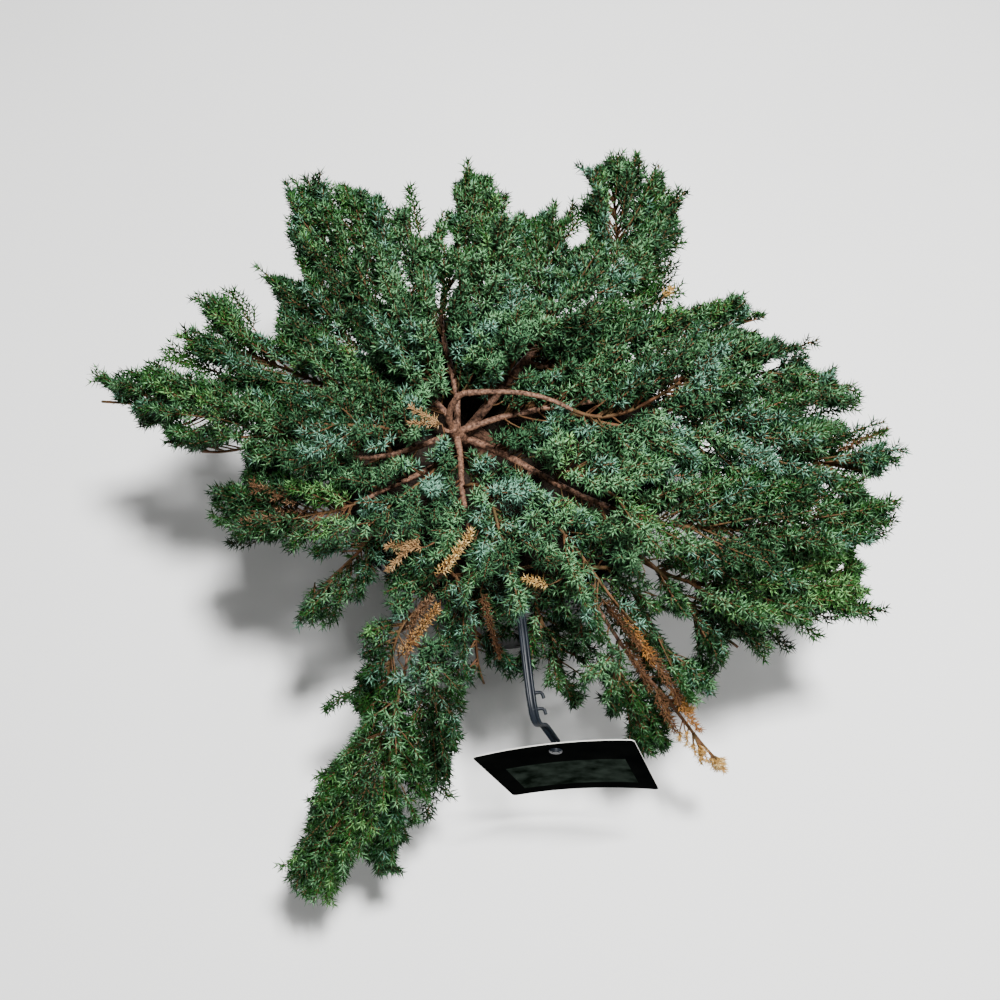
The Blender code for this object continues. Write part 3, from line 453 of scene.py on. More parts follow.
# Gaps that the photo shows in and round the crown, in its pixels
Gap = namedtuple("Gap", "across down size")
gaps = [Gap(*item) for item in (
    # west
    (102, 398, 8), (117, 413, 8), (90, 402, 8), (94, 414, 6), (125, 423, 8), (151, 438, 9), (182, 470, 14),
    (205, 458, 7), (228, 466, 12), (232, 449, 6), (197, 421, 3), (198, 321, 5),
    # southwest
    (230, 561, 8), (252, 552, 9), (272, 557, 10), (292, 566, 10), (314, 572, 10), (336, 564, 7),
    (305, 588, 10), (290, 605, 8), (352, 608, 4), (360, 618, 6), (374, 592, 5), (385, 612, 5),
    (330, 642, 9), (348, 645, 9), (350, 664, 8), (345, 684, 7), (325, 695, 8),
    # tail
    (350, 722, 8), (338, 740, 9), (320, 757, 9), (302, 786, 9), (295, 808, 9), (292, 832, 8),
    (285, 852, 5), (362, 874, 10), (353, 888, 6), (378, 886, 6), (410, 856, 10), (422, 838, 9),
    (436, 826, 8), (452, 808, 8), (463, 786, 7), (460, 767, 6), (405, 812, 1), (404, 788, 2),
    # round the holder
    (490, 706, 20), (503, 732, 18), (478, 728, 13), (470, 748, 8), (492, 675, 4), (515, 692, 7),
    (535, 680, 4), (542, 668, 2), (556, 712, 13), (575, 728, 13), (591, 712, 9), (595, 690, 4),
    (602, 728, 9), (621, 727, 5), (545, 736, 10), (571, 665, 4), (513, 648, 5), (677, 727, 3),
    # southeast
    (704, 735, 9), (701, 716, 5), (722, 748, 7), (736, 762, 7), (690, 780, 8), (728, 681, 10),
    (737, 664, 8), (739, 646, 5), (717, 706, 7), (814, 629, 2), (793, 649, 6), (762, 664, 7),
    (678, 634, 14), (664, 622, 6), (684, 650, 7), (653, 571, 6),
    # east
    (872, 578, 8), (842, 567, 1), (880, 596, 7), (864, 553, 5), (874, 486, 6), (882, 488, 6),
    (826, 487, 0), (814, 411, 2), (830, 414, 3), (846, 417, 3), (860, 417, 2), (775, 365, 3),
    (820, 362, 7), (845, 376, 6), (858, 368, 6), (706, 446, 1),
    # northeast
    (792, 334, 7), (771, 326, 7), (751, 324, 4), (758, 300, 8), (740, 281, 7), (722, 287, 7),
    (706, 293, 7), (690, 298, 6), (691, 212, 9), (687, 166, 8), (692, 236, 6), (652, 150, 7),
    (596, 157, 5),
    # north
    (578, 186, 7), (577, 233, 9), (560, 189, 6), (561, 213, 2), (533, 203, 9), (517, 189, 6),
    (543, 198, 6), (507, 180, 7), (482, 162, 8), (498, 170, 5), (424, 208, 14), (423, 223, 10),
    (442, 188, 8), (449, 203, 4), (450, 240, 2), (395, 197, 8), (376, 184, 7), (356, 178, 8),
    (340, 175, 5), (455, 172, 6),
    # northwest
    (278, 206, 9), (276, 226, 7), (288, 267, 7), (272, 263, 8), (297, 275, 3), (258, 314, 15),
    (261, 292, 9), (272, 305, 4), (268, 329, 4),
    # dark ones over the pot
    (444, 409, 12), (560, 544, 4), (527, 567, 4), (599, 567, 4), (425, 499, 2), (546, 481, 1),
    (478, 652, 4),
)]
# Places seen in the photo with sprays of another colour, in its pixels too
Patch = namedtuple("Patch", "across down size tint")
patches = (
    Patch(278, 509, 15, "brown"), Patch(709, 581, 12, "brown"), Patch(199, 346, 12, "fresh"),
    Patch(323, 509, 22, "fresh"), Patch(817, 574, 28, "fresh"),
)
# Single sprays: from and to, each as heading, reach and height in mm, with the size of their shoots
SingleSpray = namedtuple("SingleSpray", "near far size tint")
# sprays with the darkest tint are painted shade among the green ones
singleSprays = [SingleSpray(*item) for item in (
    ((250, 137, 280), (259, 103, 304), 0.9, "gold"),
    ((285, 142, 288), (277, 136, 294), 0.7, "gold"),
    ((245, 190, 210), (252, 152, 258), 1.1, "amber"),
    ((244, 174, 230), (250, 148, 264), 0.8, "brown"),
    ((239, 116, 290), (236, 150, 280), 0.7, "tan"),
    ((243, 122, 290), (231, 136, 286), 0.6, "tan"),
    ((195, 46, 300), (180, 70, 306), 0.5, "tan"),
    ((195, 46, 300), (190, 72, 304), 0.4, "tan"),
    ((264, 138, 272), (270, 176, 226), 0.6, "brown"),
    ((300, 158, 250), (303, 200, 226), 0.8, "brown"),
    ((303, 170, 240), (305, 212, 204), 1.2, "amber"),
    ((301, 186, 222), (302, 226, 192), 1.1, "brown"),
    ((305, 200, 214), (306, 246, 180), 1.3, "brown"),
    ((303, 226, 186), (303, 262, 158), 1.2, "brown"),
    ((306, 236, 180), (307, 272, 150), 1.1, "amber"),
    ((38, 166, 300), (38, 177, 304), 0.6, "gold"),
    ((358, 274, 247), (2, 318, 248), 0.2, "brown"),
    ((36, 126, 276), (44, 179, 285), 2.2, "green"),
    ((40, 118, 276), (36, 164, 280), 2.2, "deep"),
    ((45, 148, 278), (50, 198, 282), 2.2, "green"),
    ((42, 138, 276), (46, 194, 284), 2.2, "deep"),
    ((50, 168, 280), (53, 214, 284), 2.0, "green"),
    ((40, 150, 284), (46, 206, 286), 2.8, "deep"),
    ((44, 160, 276), (40, 196, 276), 2.4, "green"),
    ((48, 166, 282), (50, 206, 284), 2.2, "green"),
    ((50, 194, 280), (48, 230, 282), 1.7, "green"),
    ((44, 92, 288), (34, 134, 292), 1.8, "deep"),
    ((48, 96, 280), (36, 140, 284), 2.4, "deep"),
    ((38, 88, 280), (30, 138, 284), 2.2, "deep"),
    ((168, 268, 244), (167, 302, 246), 2.2, "green"),
    ((299, 140, 250), (302, 186, 232), 2.2, "deep"),
    ((304, 146, 252), (306, 182, 238), 1.8, "deep"),
    ((189, 146, 228), (186, 190, 222), 2.2, "deep"),
    ((184, 168, 226), (182, 206, 222), 1.8, "deep"),
    ((351, 158, 258), (349, 196, 260), 2.0, "deep"),
    ((188, 208, 216), (189, 240, 212), 1.7, "deep"),
    ((199, 206, 206), (198, 236, 202), 1.6, "deep"),
    ((355, 252, 242), (355, 300, 242), 1.8, "green"),
    ((323, 236, 200), (322, 270, 192), 1.6, "green"),
    ((163, 236, 250), (161, 276, 254), 1.7, "green"),
    ((166, 228, 244), (163, 292, 250), 2.8, "green"),
    ((163, 236, 250), (160, 284, 254), 2.4, "deep"),
    ((168, 232, 240), (170, 276, 242), 2.2, "green"),
    ((165, 246, 250), (165, 291, 252), 1.6, "fresh"),
    ((154, 230, 250), (149, 270, 256), 2.4, "green"),
    ((153, 262, 250), (153, 294, 254), 1.6, "green"),
    ((176, 246, 214), (177, 278, 212), 1.5, "green"),
    ((112, 176, 296), (110, 226, 302), 1.4, "green"),
    ((118, 96, 296), (108, 140, 302), 1.5, "deep"),
    ((72, 168, 296), (69, 204, 302), 1.5, "green"),
    ((255, 246, 130), (261, 268, 112), 1.8, "green"),
    ((257, 262, 118), (258, 288, 104), 1.7, "deep"),
    ((237, 222, 165), (234, 247, 150), 1.2, "green"),
    ((5, 236, 246), (6, 296, 250), 2.2, "green"),
    ((7, 266, 252), (7, 298, 252), 1.6, "green"),
    ((0, 276, 244), (1, 314, 250), 1.7, "green"),
    ((356, 280, 240), (357, 314, 242), 1.6, "green"),
    ((350, 278, 222), (350, 312, 224), 1.8, "green"),
    ((347, 280, 220), (347, 320, 222), 2.0, "green"),
    ((334, 276, 202), (336, 330, 198), 1.8, "green"),
    ((331, 260, 202), (330, 298, 190), 1.7, "green"),
    ((327, 246, 188), (327, 284, 176), 1.7, "deep"),
    ((214, 184, 192), (219, 206, 170), 1.3, "green"),
    ((66, 230, 310), (68, 248, 312), 1.4, "green"),
)]
# Stretches of the limbs that no foliage hides in the photo: from and to shares, half width in mm
shownStretches = {
    "bough_hook": (0, 1, 8), "bough_arch": (0, 1, 7), "crown_east": (0, 0.75, 6),
    "bough_southeast": (0, 1, 7.5), "bough_south": (0, 0.75, 6), "bough_north": (0.15, 0.95, 6),
    "bough_northeast": (0.28, 0.58, 7),
    "bough_east": (0.1, 0.34, 6), "bough_west": (0.15, 0.75, 5), "bough_southwest": (0.25, 0.9, 5),
    "bough_east_northeast": (0.05, 0.3, 4), "bough_dead": (0.2, 1, 4), "mass_dead_tip": (0, 0.6, 4),
    "mass_east_lower": (0.40, 0.66, 3), "mass_southwest": (0.10, 0.45, 3), "mass_southeast": (0.05, 0.30, 3),
    "mass_west_northwest": (0.45, 0.80, 3), "mass_spire": (0.55, 0.85, 4), "mass_east": (0.80, 0.97, 4),
}


def slanted(points):
    # plan places moved by height along the photo's sight line
    return np.stack((points[:, 0], points[:, 1] + points[:, 2] / math.tan(photoLift)), axis=1)


def seen(points):
    # where the camera sees points, in pixels of the photo, and the pixels to a metre there
    away = points - eye
    gaze = np.array((0, math.cos(photoLift), -math.sin(photoLift)))
    over = np.array((0, math.sin(photoLift), math.cos(photoLift)))
    scale = view["lens"] / view["sensor"] * view["pixels"] / (away @ gaze)
    middle = view["pixels"] / 2
    return np.stack((middle + scale * away[:, 0], middle - scale * (away @ over)), axis=1), scale


class Sight:
    # what must stay open in the photo's view, and how thickly twigs lie over each small square

    def __init__(self, routes):
        self.opens = np.array([item[:2] for item in gaps])
        self.openSizes = np.array([item.size for item in gaps]) + finer["needleReach"]
        self.tints = np.array([item[:2] for item in patches])
        self.tintSizes = np.array([item.size for item in patches])
        lanes, heights, widths = [], [], []
        courses = [(np.array([routes[name].place(share) for share in np.linspace(near, far, 40)]), half * mm)
                   for name, (near, far, half) in shownStretches.items()]
        steps = np.linspace(0, 1, 12)[:, None]
        courses += [(mix(spot(*item.near), spot(*item.far), steps), finer["singleLane"])
                    for item in singleSprays if item.tint not in ("green", "deep")]
        for points, half in courses:
            flat, scale = seen(points)
            lanes.append(flat)
            heights.append(points[:, 2])
            widths.append(half * scale)
        self.lanes, self.heights = np.concatenate(lanes), np.concatenate(heights)
        self.widths = np.concatenate(widths)
        self.cover = {}

    def free(self, points):
        flat, _ = seen(points)
        hole = (distances(flat, self.opens) < self.openSizes).any(axis=1)
        above = points[:, 2:] > self.heights[None] - 0.002
        return ~hole & ~np.any((distances(flat, self.lanes) < self.widths) & above, axis=1)

    def tintAt(self, point):
        apart = distances(seen(point[None])[0], self.tints)[0] / self.tintSizes
        nearest = int(apart.argmin())
        return patches[nearest].tint if apart[nearest] < 1 else None

    def squares(self, points):
        return {tuple(item) for item in np.floor(slanted(points) / finer["coverCell"]).astype(int)}

    def thickness(self, points):
        squares = self.squares(points)
        return sum(self.cover.get(square, 0) for square in squares) / len(squares)

    def add(self, points):
        for x, y in self.squares(points):
            for across in (-1, 0, 1):
                for along in (-1, 0, 1):
                    share = 1 if across == along == 0 else finer["coverBeside"]
                    self.cover[x + across, y + along] = self.cover.get((x + across, y + along), 0) + share


def twigFits(twig, crown, sight, mine, limit):
    # whether an extra twig stays in its space and lies where the crown is still thin
    points, _ = twig.route.samples(probeStep)
    points = points[2:] if len(points) > 4 else points[1:]
    if mine is not None and not crown.inOwnSpace(points, mine, finer["spaceSlack"]).all():
        return False
    if not sight.free(points[finer["laneFrom"]:]).all():
        return False
    reach = np.linalg.norm(slanted(points), axis=1).mean()
    edge = min(1.0, max(0.0, (reach - finer["edgeFrom"]) / finer["edgeWidth"]))
    limit *= mix(1, finer["edgeCover"], edge)
    return (sight.thickness(points) < limit and crown.clearOfPot(points).all()
            and crown.clearOfLabel(points).all() and crown.clearOfLimbs(points, finer["limbMargin"]).all())


def firstFit(route, share, roll, angle, length, crown, sight, mine, limit, dice):
    # the longest twig that fits at one place
    for shrink in rule["shrinks"]:
        lean = dice.uniform(-finer["lean"], finer["lean"])
        twig = twigAt(route, share, roll, angle, length * shrink, lean)
        if twigFits(twig, crown, sight, mine, limit):
            sight.add(twig.route.samples(probeStep)[0])
            return twig
    return None


def nextRoll(number, first, dice, lowest):
    # a golden-angle turn round the stem, mirrored upwards where it points too far down
    roll = (number + first * 0.37) * finer["golden"] + dice.uniform(-finer["rollLoose"], finer["rollLoose"])
    return -roll if math.sin(math.radians(roll)) < lowest else roll


def extraTwigs(mass, stem, crown, sight, first, dice):
    # twigs between the main ones, by golden-angle turns round the stem
    twigs = []
    mine = crown.names.index(mass.name)
    count = max(4, int(stem.length / finer["twigStep"]))
    limit = finer["coverLimit"] * (first + 1) / finer["rounds"]
    for number in range(count):
        share = mix(0.04, 0.96, (number + dice.random()) / count)
        outer = max(0.0, (share - finer["outerFrom"]) / (1 - finer["outerFrom"]))
        if dice.random() < finer["outerSkip"] * outer:
            continue
        roll = nextRoll(number, first, dice, -0.55)
        angle = math.radians(mix(rule["angleNear"], rule["angleFar"], share))
        length = mass.spread * mm * fullness(share) / math.sin(angle) * dice.uniform(*finer["twigLengths"])
        length *= mix(1, finer["outerLength"], outer)
        length = min(length, ((1 - share) * stem.length + 0.004) / math.cos(angle))
        twig = firstFit(stem, share, roll, angle, length, crown, sight, mine, limit, dice)
        if twig:
            twig.size = mix(1, finer["outerSize"], outer)
            twigs.append(twig)
    return twigs


def limbTwigs(route, crown, sight, first, dice):
    # short twigs along a bough, mostly to its sides and above
    twigs = []
    count = int(route.length / finer["limbStep"])
    limit = finer["coverLimit"] * (first + 1) / finer["rounds"]
    for number in range(count):
        share = mix(finer["limbFrom"], 0.98, (number + dice.random()) / count)
        roll = nextRoll(number, first, dice, -0.3)
        angle = math.radians(dice.uniform(*finer["limbAngle"]))
        length = dice.uniform(*finer["limbTwig"])
        twig = firstFit(route, share, roll, angle, length, crown, sight, None, limit, dice)
        if twig:
            twigs.append(twig)
    return twigs


def wholeStem(stem):
    # the stem of a mass as a spray of its own, so that shoots cover it
    ahead = stem.way(0.5)
    over = np.cross(unit(np.cross(ahead, skyUp)), ahead)
    spray = Spray(stem.place(0), ahead, ahead, over, 1, 0, finer["stemBare"])
    spray.route = stem
    return spray


def singleSpray(item, joints):
    # one slender spray, its stem led back to the nearest twig
    near, far = spot(*item.near), spot(*item.far)
    joint = joints[np.linalg.norm(joints - near, axis=1).argmin()]
    ahead = unit(far - near)
    over = np.cross(unit(np.cross(ahead, skyUp)), ahead)
    spray = Spray(near, ahead, ahead, over, np.linalg.norm(far - near), 0, 0.0)
    sag = np.array((0, 0, 0.006))
    course = bend(near, unit(ahead + sag), far, unit(ahead - sag), 6)
    spray.route = Route(course, np.full(len(course), rule["bareHalf"]))
    spray.size = item.size
    return spray, np.array((joint, mix(joint, near, 0.5), near, mix(near, far, 0.5), far))


def shootsOn(twig, dice):
    # shoots along a twig, longest near its root, turned up towards the light
    length = twig.route.length
    shoots = []
    count = max(2, int(length * (1 - twig.bare) / finer["shoots"]))
    turn = dice.uniform(0, 360)
    for number in range(count):
        share = mix(twig.bare * 0.5, 0.94, (number + 0.5) / count)
        way, side, up = twig.frame(share)
        turn += finer["shootTurn"] + dice.uniform(-finer["turnLoose"], finer["turnLoose"])
        roll = math.radians(turn)
        out = side * math.cos(roll) + up * math.sin(roll) * finer["shootFlatness"]
        angle = math.radians(dice.uniform(*finer["shootAngle"]))
        start = twig.route.place(share)
        size = mix(*finer["shootLength"], dice.random()) * mix(*finer["shootTaper"], share)
        first = unit(way * math.cos(angle) + out * math.sin(angle))
        upturn = skyUp * finer["shootUpturn"] * dice.uniform(*finer["upturns"])
        last = unit(first + way * finer["shootOnward"] + upturn)
        size *= twig.size
        bent = start + first * size * 0.5
        shoots.append((start, bent, bent + last * size * 0.5, share))
    return shoots + [(twig.route.place(0.5), twig.route.place(0.75), twig.route.place(1), 1)]


def sideShoots(spray, dice):
    # short shoots to both sides of a single spray, shorter towards its tip
    shoots = [(spray.route.place(0), spray.route.place(0.5), spray.route.place(1))]
    count = max(3, int(spray.route.length / finer["singleStep"]))
    for number in range(count):
        share = (number + 0.6) / (count + 0.6)
        way, side, up = spray.frame(share)
        out = side * (1 if number % 2 else -1) + up * dice.uniform(-0.3, 0.6)
        first = unit(way + out * 0.8)
        start = spray.route.place(share)
        size = mix(*finer["singleShoot"], share) * dice.uniform(0.8, 1.2) * spray.size
        shoots.append((start, start + first * size * 0.5, start + unit(first + way * 0.3) * size))
    return shoots


# How often a spray of each mass takes each colour; the darkest tint among them is painted shade
tintShares = {
    "green": (("green", 0.48), ("deep", 0.34), ("blue", 0.13), ("fresh", 0.05)),
    "deep": (("deep", 0.62), ("green", 0.30), ("blue", 0.08)),
    "blue": (("blue", 0.30), ("green", 0.34), ("deep", 0.36)),
    "fresh": (("fresh", 0.26), ("green", 0.50), ("deep", 0.24)),
    "gold": (("gold", 1.0),),
}


def dealTint(tint, luck, place):
    # one colour for a whole spray
    if place:
        return place
    for other, share in tintShares[tint]:
        luck -= share
        if luck < 0:
            return other
    return tint


print("routes of trunk, boughs and stems")
routes = {"trunk": trunkRoute()}
waiting = list(limbs)
while waiting:
    limb = waiting.pop(0)
    if limb.parent in routes:
        routes[limb.name] = growRoute(limb, routes[limb.parent], rule["limbRings"], limb.root * mm,
                                      limb.tip * mm)
    else:
        waiting.append(limb)
stems = {mass.name: growRoute(mass, routes[mass.parent], 2 * rule["stemRings"], rule["stemRadius"],
                              rule["stemTip"]) for mass in masses}
crown = Crown(routes, stems, holderRoute())
sight = Sight(dict(routes, **stems))

print("twigs and shoots")
dice = random.Random(finer["seed"])
grown = []      # (twig, tint of its mass)
for mass in masses:
    for twig in mainSprays(mass, stems[mass.name], crown):
        grown.append((twig, mass.tint))
        sight.add(twig.route.samples(probeStep)[0])
for first in range(finer["rounds"]):
    for mass in masses:
        grown += [(twig, mass.tint) for twig in extraTwigs(mass, stems[mass.name], crown, sight, first, dice)]
    for limb in limbs:
        if limb.name not in ("bough_hook", "bough_arch"):
            # twigs along the boughs, deep inside the crown, take the darkest tint as painted shade
            grown += [(twig, "deep") for twig in limbTwigs(routes[limb.name], crown, sight, first, dice)]
    print("round", first, "twigs", len(grown))
grown += [(wholeStem(stems[mass.name]), mass.tint) for mass in masses if mass.tint != "gold"]
for twig, tint in grown:
    if tint == "gold":
        twig.size = finer["deadMass"]
twigPaths = [(stems[mass.name].samples(0.008)[0], rule["stemRadius"], rule["stemTip"]) for mass in masses]
shootList, shootTints, owners = [], [], []
for number, (twig, tint) in enumerate(grown):
    tint = dealTint(tint, dice.random(), sight.tintAt(twig.route.place(0.6)))
    for shoot in shootsOn(twig, dice):
        shootList.append(shoot)
        shootTints.append(tint)
        owners.append(number)
starts, middles, ends = (np.array([shoot[column] for shoot in shootList]) for column in range(3))
tints, owners = np.array(shootTints), np.array(owners)
keep = np.ones(len(starts), bool)
for points in (middles, mix(middles, ends, 0.5), ends):
    for first in range(0, len(points), 500):
        part = slice(first, first + 500)
        keep[part] &= (crown.clearOfPot(points[part]) & crown.clearOfLabel(points[part])
                       & sight.free(points[part]) & crown.clearOfLimbs(points[part], finer["limbMargin"]))
# a twig ends where two shoots in a row are lost, and one that lost most of its shoots goes
shares = np.array([shoot[3] for shoot in shootList])
for own in np.split(np.arange(len(keep)), np.nonzero(np.diff(owners))[0] + 1):
    broken = [first for first, second in zip(own, own[1:])
              if shares[first] > finer["breakFrom"] and not keep[first] and not keep[second]]
    if broken:
        keep[own[own >= broken[0]]] = False
lost = np.bincount(owners[~keep], minlength=len(grown)) / np.bincount(owners, minlength=len(grown))
keep &= lost[owners] < finer["mostLost"]
leftShares = np.zeros(len(grown))
np.maximum.at(leftShares, owners[keep], shares[keep])
for (twig, tint), share in zip(grown, leftShares):
    if share > 0 and twig.route.length < finer["longestTwig"]:
        steps = np.linspace(0, share, max(3, int(twig.route.length * share / 0.012) + 2))
        twigPaths.append((np.array([twig.route.place(step) for step in steps]), finer["twigRadius"],
                          finer["twigTip"]))
starts, middles, ends, tints = starts[keep], middles[keep], ends[keep], tints[keep]
joints = np.concatenate([path for path, _, _ in twigPaths])
for item in singleSprays:
    spray, path = singleSpray(item, joints)
    twigPaths.append((path, finer["twigRadius"], finer["twigTip"]))
    near, halfway, far = (np.array(column) for column in zip(*sideShoots(spray, dice)))
    starts, middles = np.concatenate((starts, near)), np.concatenate((middles, halfway))
    ends, tints = np.concatenate((ends, far)), np.concatenate((tints, [item.tint] * len(near)))
print("twigs", len(twigPaths), "shoots", len(starts))


def placed(name, data):
    thing = bpy.data.objects.new(name, data)
    bpy.context.scene.collection.objects.link(thing)
    return thing


def meshFromArrays(name, points, triangles, slots=None):
    mesh = bpy.data.meshes.new(name)
    mesh.vertices.add(len(points))
    mesh.vertices.foreach_set("co", np.asarray(points, np.float32).ravel())
    mesh.loops.add(3 * len(triangles))
    mesh.loops.foreach_set("vertex_index", np.asarray(triangles, np.int32).ravel())
    mesh.polygons.add(len(triangles))
    mesh.polygons.foreach_set("loop_start", np.arange(0, 3 * len(triangles), 3, dtype=np.int32))
    if slots is not None:
        mesh.polygons.foreach_set("material_index", np.asarray(slots, np.int32))
    mesh.update(calc_edges=True)
    mesh.validate()
    return placed(name, mesh)


def growNeedles(name, starts, middles, ends, draws, scale):
    # whorls of three awl-shaped needles along each shoot; each is a thin closed wedge of four faces
    lengths = np.linalg.norm(middles - starts, axis=1) + np.linalg.norm(ends - middles, axis=1)
    whorls = np.maximum(3, (lengths * (1 - needle["bareStart"]) / needle["whorl"]).astype(int))
    owner = np.repeat(np.arange(len(starts)), whorls)
    order = np.arange(len(owner)) - np.repeat(np.cumsum(whorls) - whorls, whorls)
    along = needle["bareStart"] + (1 - needle["bareStart"]) * (order + 0.5) / whorls[owner]
    along = along[:, None]
    centre = ((1 - along) ** 2 * starts[owner] + 2 * along * (1 - along) * middles[owner]
              + along**2 * ends[owner])
    way = 2 * (1 - along) * (middles - starts)[owner] + 2 * along * (ends - middles)[owner]
    way = unitRows(way)
    guide = np.where(abs(way[:, 2:3]) < 0.85, np.array([[0, 0, 1.0]]), np.array([[0, 1.0, 0]]))
    side = unitRows(np.cross(way, guide))
    up = np.cross(side, way)
    each = needle["each"]
    centre, way, side, up = (np.repeat(item, each, axis=0) for item in (centre, way, side, up))
    share = np.repeat(along[:, 0], each)
    number = np.tile(np.arange(each), len(owner))
    turn = number * 2 * math.pi / each + np.repeat(order, each) * math.pi / each
    turn += draws.uniform(-needle["turnLoose"], needle["turnLoose"], len(turn))
    radial = side * np.cos(turn)[:, None] + up * np.sin(turn)[:, None]
    lean = mix(needle["angle"][1], needle["angle"][0], share**1.5)
    lean = np.radians(lean + draws.uniform(-needle["leanLoose"], needle["leanLoose"], len(turn)))
    point = way * np.cos(lean)[:, None] + radial * np.sin(lean)[:, None]
    inward = way * np.sin(lean)[:, None] - radial * np.cos(lean)[:, None]
    across = np.cross(point, inward)
    size = draws.uniform(*needle["length"], len(turn)) * (1 - needle["tipShorter"] * share**3) * scale
    width = needle["width"] * draws.uniform(*needle["widths"], len(turn)) * 0.5 * scale
    foot = centre + radial * finer["shootTip"]
    tip = foot + point * size[:, None] + inward * (size * needle["curl"])[:, None]
    left, right = foot - across * width[:, None], foot + across * width[:, None]
    keel = foot - inward * (width * 2 * needle["keel"])[:, None]
    points = np.stack((left, right, keel, tip), axis=1).reshape(-1, 3)
    base = 4 * np.arange(len(turn))[:, None]
    faces = np.array(((1, 0, 3), (0, 2, 3), (2, 1, 3), (0, 1, 2)))
    triangles = (base[:, None] + faces[None]).reshape(-1, 3)
    slots = np.tile((1, 0, 0, 0), len(turn))
    return meshFromArrays(name, points, triangles, slots)


def tubes(name, paths, sides, pointed=False):
    # many thin tapering twigs in one mesh
    points, triangles, first = [], [], 0
    for path, root, tip in paths:
        count = len(path)
        ways = unitRows(np.gradient(path, axis=0))
        guide = skyUp if abs(ways[0][2]) < 0.9 else np.array((0, 1.0, 0))
        side = unitRows(np.cross(ways, guide))
        up = np.cross(side, ways)
        radius = np.linspace(root, tip, count)[:, None]
        rings = count - 1 if pointed else count
        for number in range(sides):
            angle = 2 * math.pi * number / sides
            points.append((path + radius * (side * math.cos(angle) + up * math.sin(angle)))[:rings])
        ring = np.arange(rings - 1)
        for number in range(sides):
            near, far = first + number * rings + ring, first + (number + 1) % sides * rings + ring
            triangles.append(np.stack((near, far, far + 1), axis=1))
            triangles.append(np.stack((near, far + 1, near + 1), axis=1))
        for number in range(1, sides - 1):
            a, b, c = first, first + number * rings, first + (number + 1) * rings
            triangles.append(np.array(((a, c, b),)))
            if not pointed:
                triangles.append(np.array(((a + rings - 1, b + rings - 1, c + rings - 1),)))
        first += sides * rings
        if pointed:
            points.append(path[-1:])
            for number in range(sides):
                near = first - sides * rings + (number + 1) * rings - 1
                far = first - sides * rings + (number + 1) % sides * rings + rings - 1
                triangles.append(np.array(((near, far, first),)))
            first += 1
    return meshFromArrays(name, np.concatenate(points), np.concatenate(triangles))


# Materials
def newMaterial(name):
    made = bpy.data.materials.new(name)
    made.use_nodes = True
    return made, made.node_tree.nodes, made.node_tree.links, made.node_tree.nodes["Principled BSDF"]


def makeGroup(name, inputs, outputs):
    group = bpy.data.node_groups.new(name, "ShaderNodeTree")
    for label, kind, value in inputs:
        socket = group.interface.new_socket(label, in_out="INPUT", socket_type=kind)
        socket.default_value = value
    for label, kind in outputs:
        group.interface.new_socket(label, in_out="OUTPUT", socket_type=kind)
    return group, group.nodes.new("NodeGroupInput"), group.nodes.new("NodeGroupOutput")


def buildMottle():
    # two colours mixed by noise, with a mask for roughness
    group, enter, leave = makeGroup("mottle", (
        ("Colour A", "NodeSocketColor", (0.5, 0.5, 0.5, 1)),
        ("Colour B", "NodeSocketColor", (0.3, 0.3, 0.3, 1)),
        ("Scale", "NodeSocketFloat", 60.0), ("Detail", "NodeSocketFloat", 4.0)),
        (("Colour", "NodeSocketColor"), ("Mask", "NodeSocketFloat")))
    nodes, links = group.nodes, group.links
    place = nodes.new("ShaderNodeTexCoord")
    field = nodes.new("ShaderNodeTexNoise")
    ramp = nodes.new("ShaderNodeMapRange")
    ramp.inputs["From Min"].default_value = 0.32
    ramp.inputs["From Max"].default_value = 0.68
    blend = nodes.new("ShaderNodeMix")
    blend.data_type = "RGBA"
    links.new(place.outputs["Object"], field.inputs["Vector"])
    links.new(enter.outputs["Scale"], field.inputs["Scale"])
    links.new(enter.outputs["Detail"], field.inputs["Detail"])
    links.new(field.outputs["Fac"], ramp.inputs["Value"])
    links.new(ramp.outputs["Result"], blend.inputs["Factor"])
    links.new(enter.outputs["Colour A"], blend.inputs["A"])
    links.new(enter.outputs["Colour B"], blend.inputs["B"])
    links.new(blend.outputs["Result"], leave.inputs["Colour"])
    links.new(ramp.outputs["Result"], leave.inputs["Mask"])
    return group


mottle = buildMottle()


def mottledMaterial(name, near, far, scale, rough, detail=4.0, bump=None, shine=0.5):
    made, nodes, links, shader = newMaterial(name)
    patch = nodes.new("ShaderNodeGroup")
    patch.node_tree = mottle
    patch.inputs["Colour A"].default_value = (*near, 1)
    patch.inputs["Colour B"].default_value = (*far, 1)
    patch.inputs["Scale"].default_value = scale
    patch.inputs["Detail"].default_value = detail
    links.new(patch.outputs["Colour"], shader.inputs["Base Color"])
    shader.inputs["Specular IOR Level"].default_value = shine
    spread = nodes.new("ShaderNodeMapRange")
    spread.inputs["To Min"].default_value = rough[0]
    spread.inputs["To Max"].default_value = rough[1]
    links.new(patch.outputs["Mask"], spread.inputs["Value"])
    links.new(spread.outputs["Result"], shader.inputs["Roughness"])
    if bump:
        place = nodes.new("ShaderNodeTexCoord")
        field = nodes.new("ShaderNodeTexNoise")
        field.inputs["Scale"].default_value = bump[0]
        field.inputs["Detail"].default_value = 6
        raised = nodes.new("ShaderNodeBump")
        raised.inputs["Strength"].default_value = bump[1]
        raised.inputs["Distance"].default_value = bump[2]
        links.new(place.outputs["Object"], field.inputs["Vector"])
        links.new(field.outputs["Fac"], raised.inputs["Height"])
        links.new(raised.outputs["Normal"], shader.inputs["Normal"])
    return made


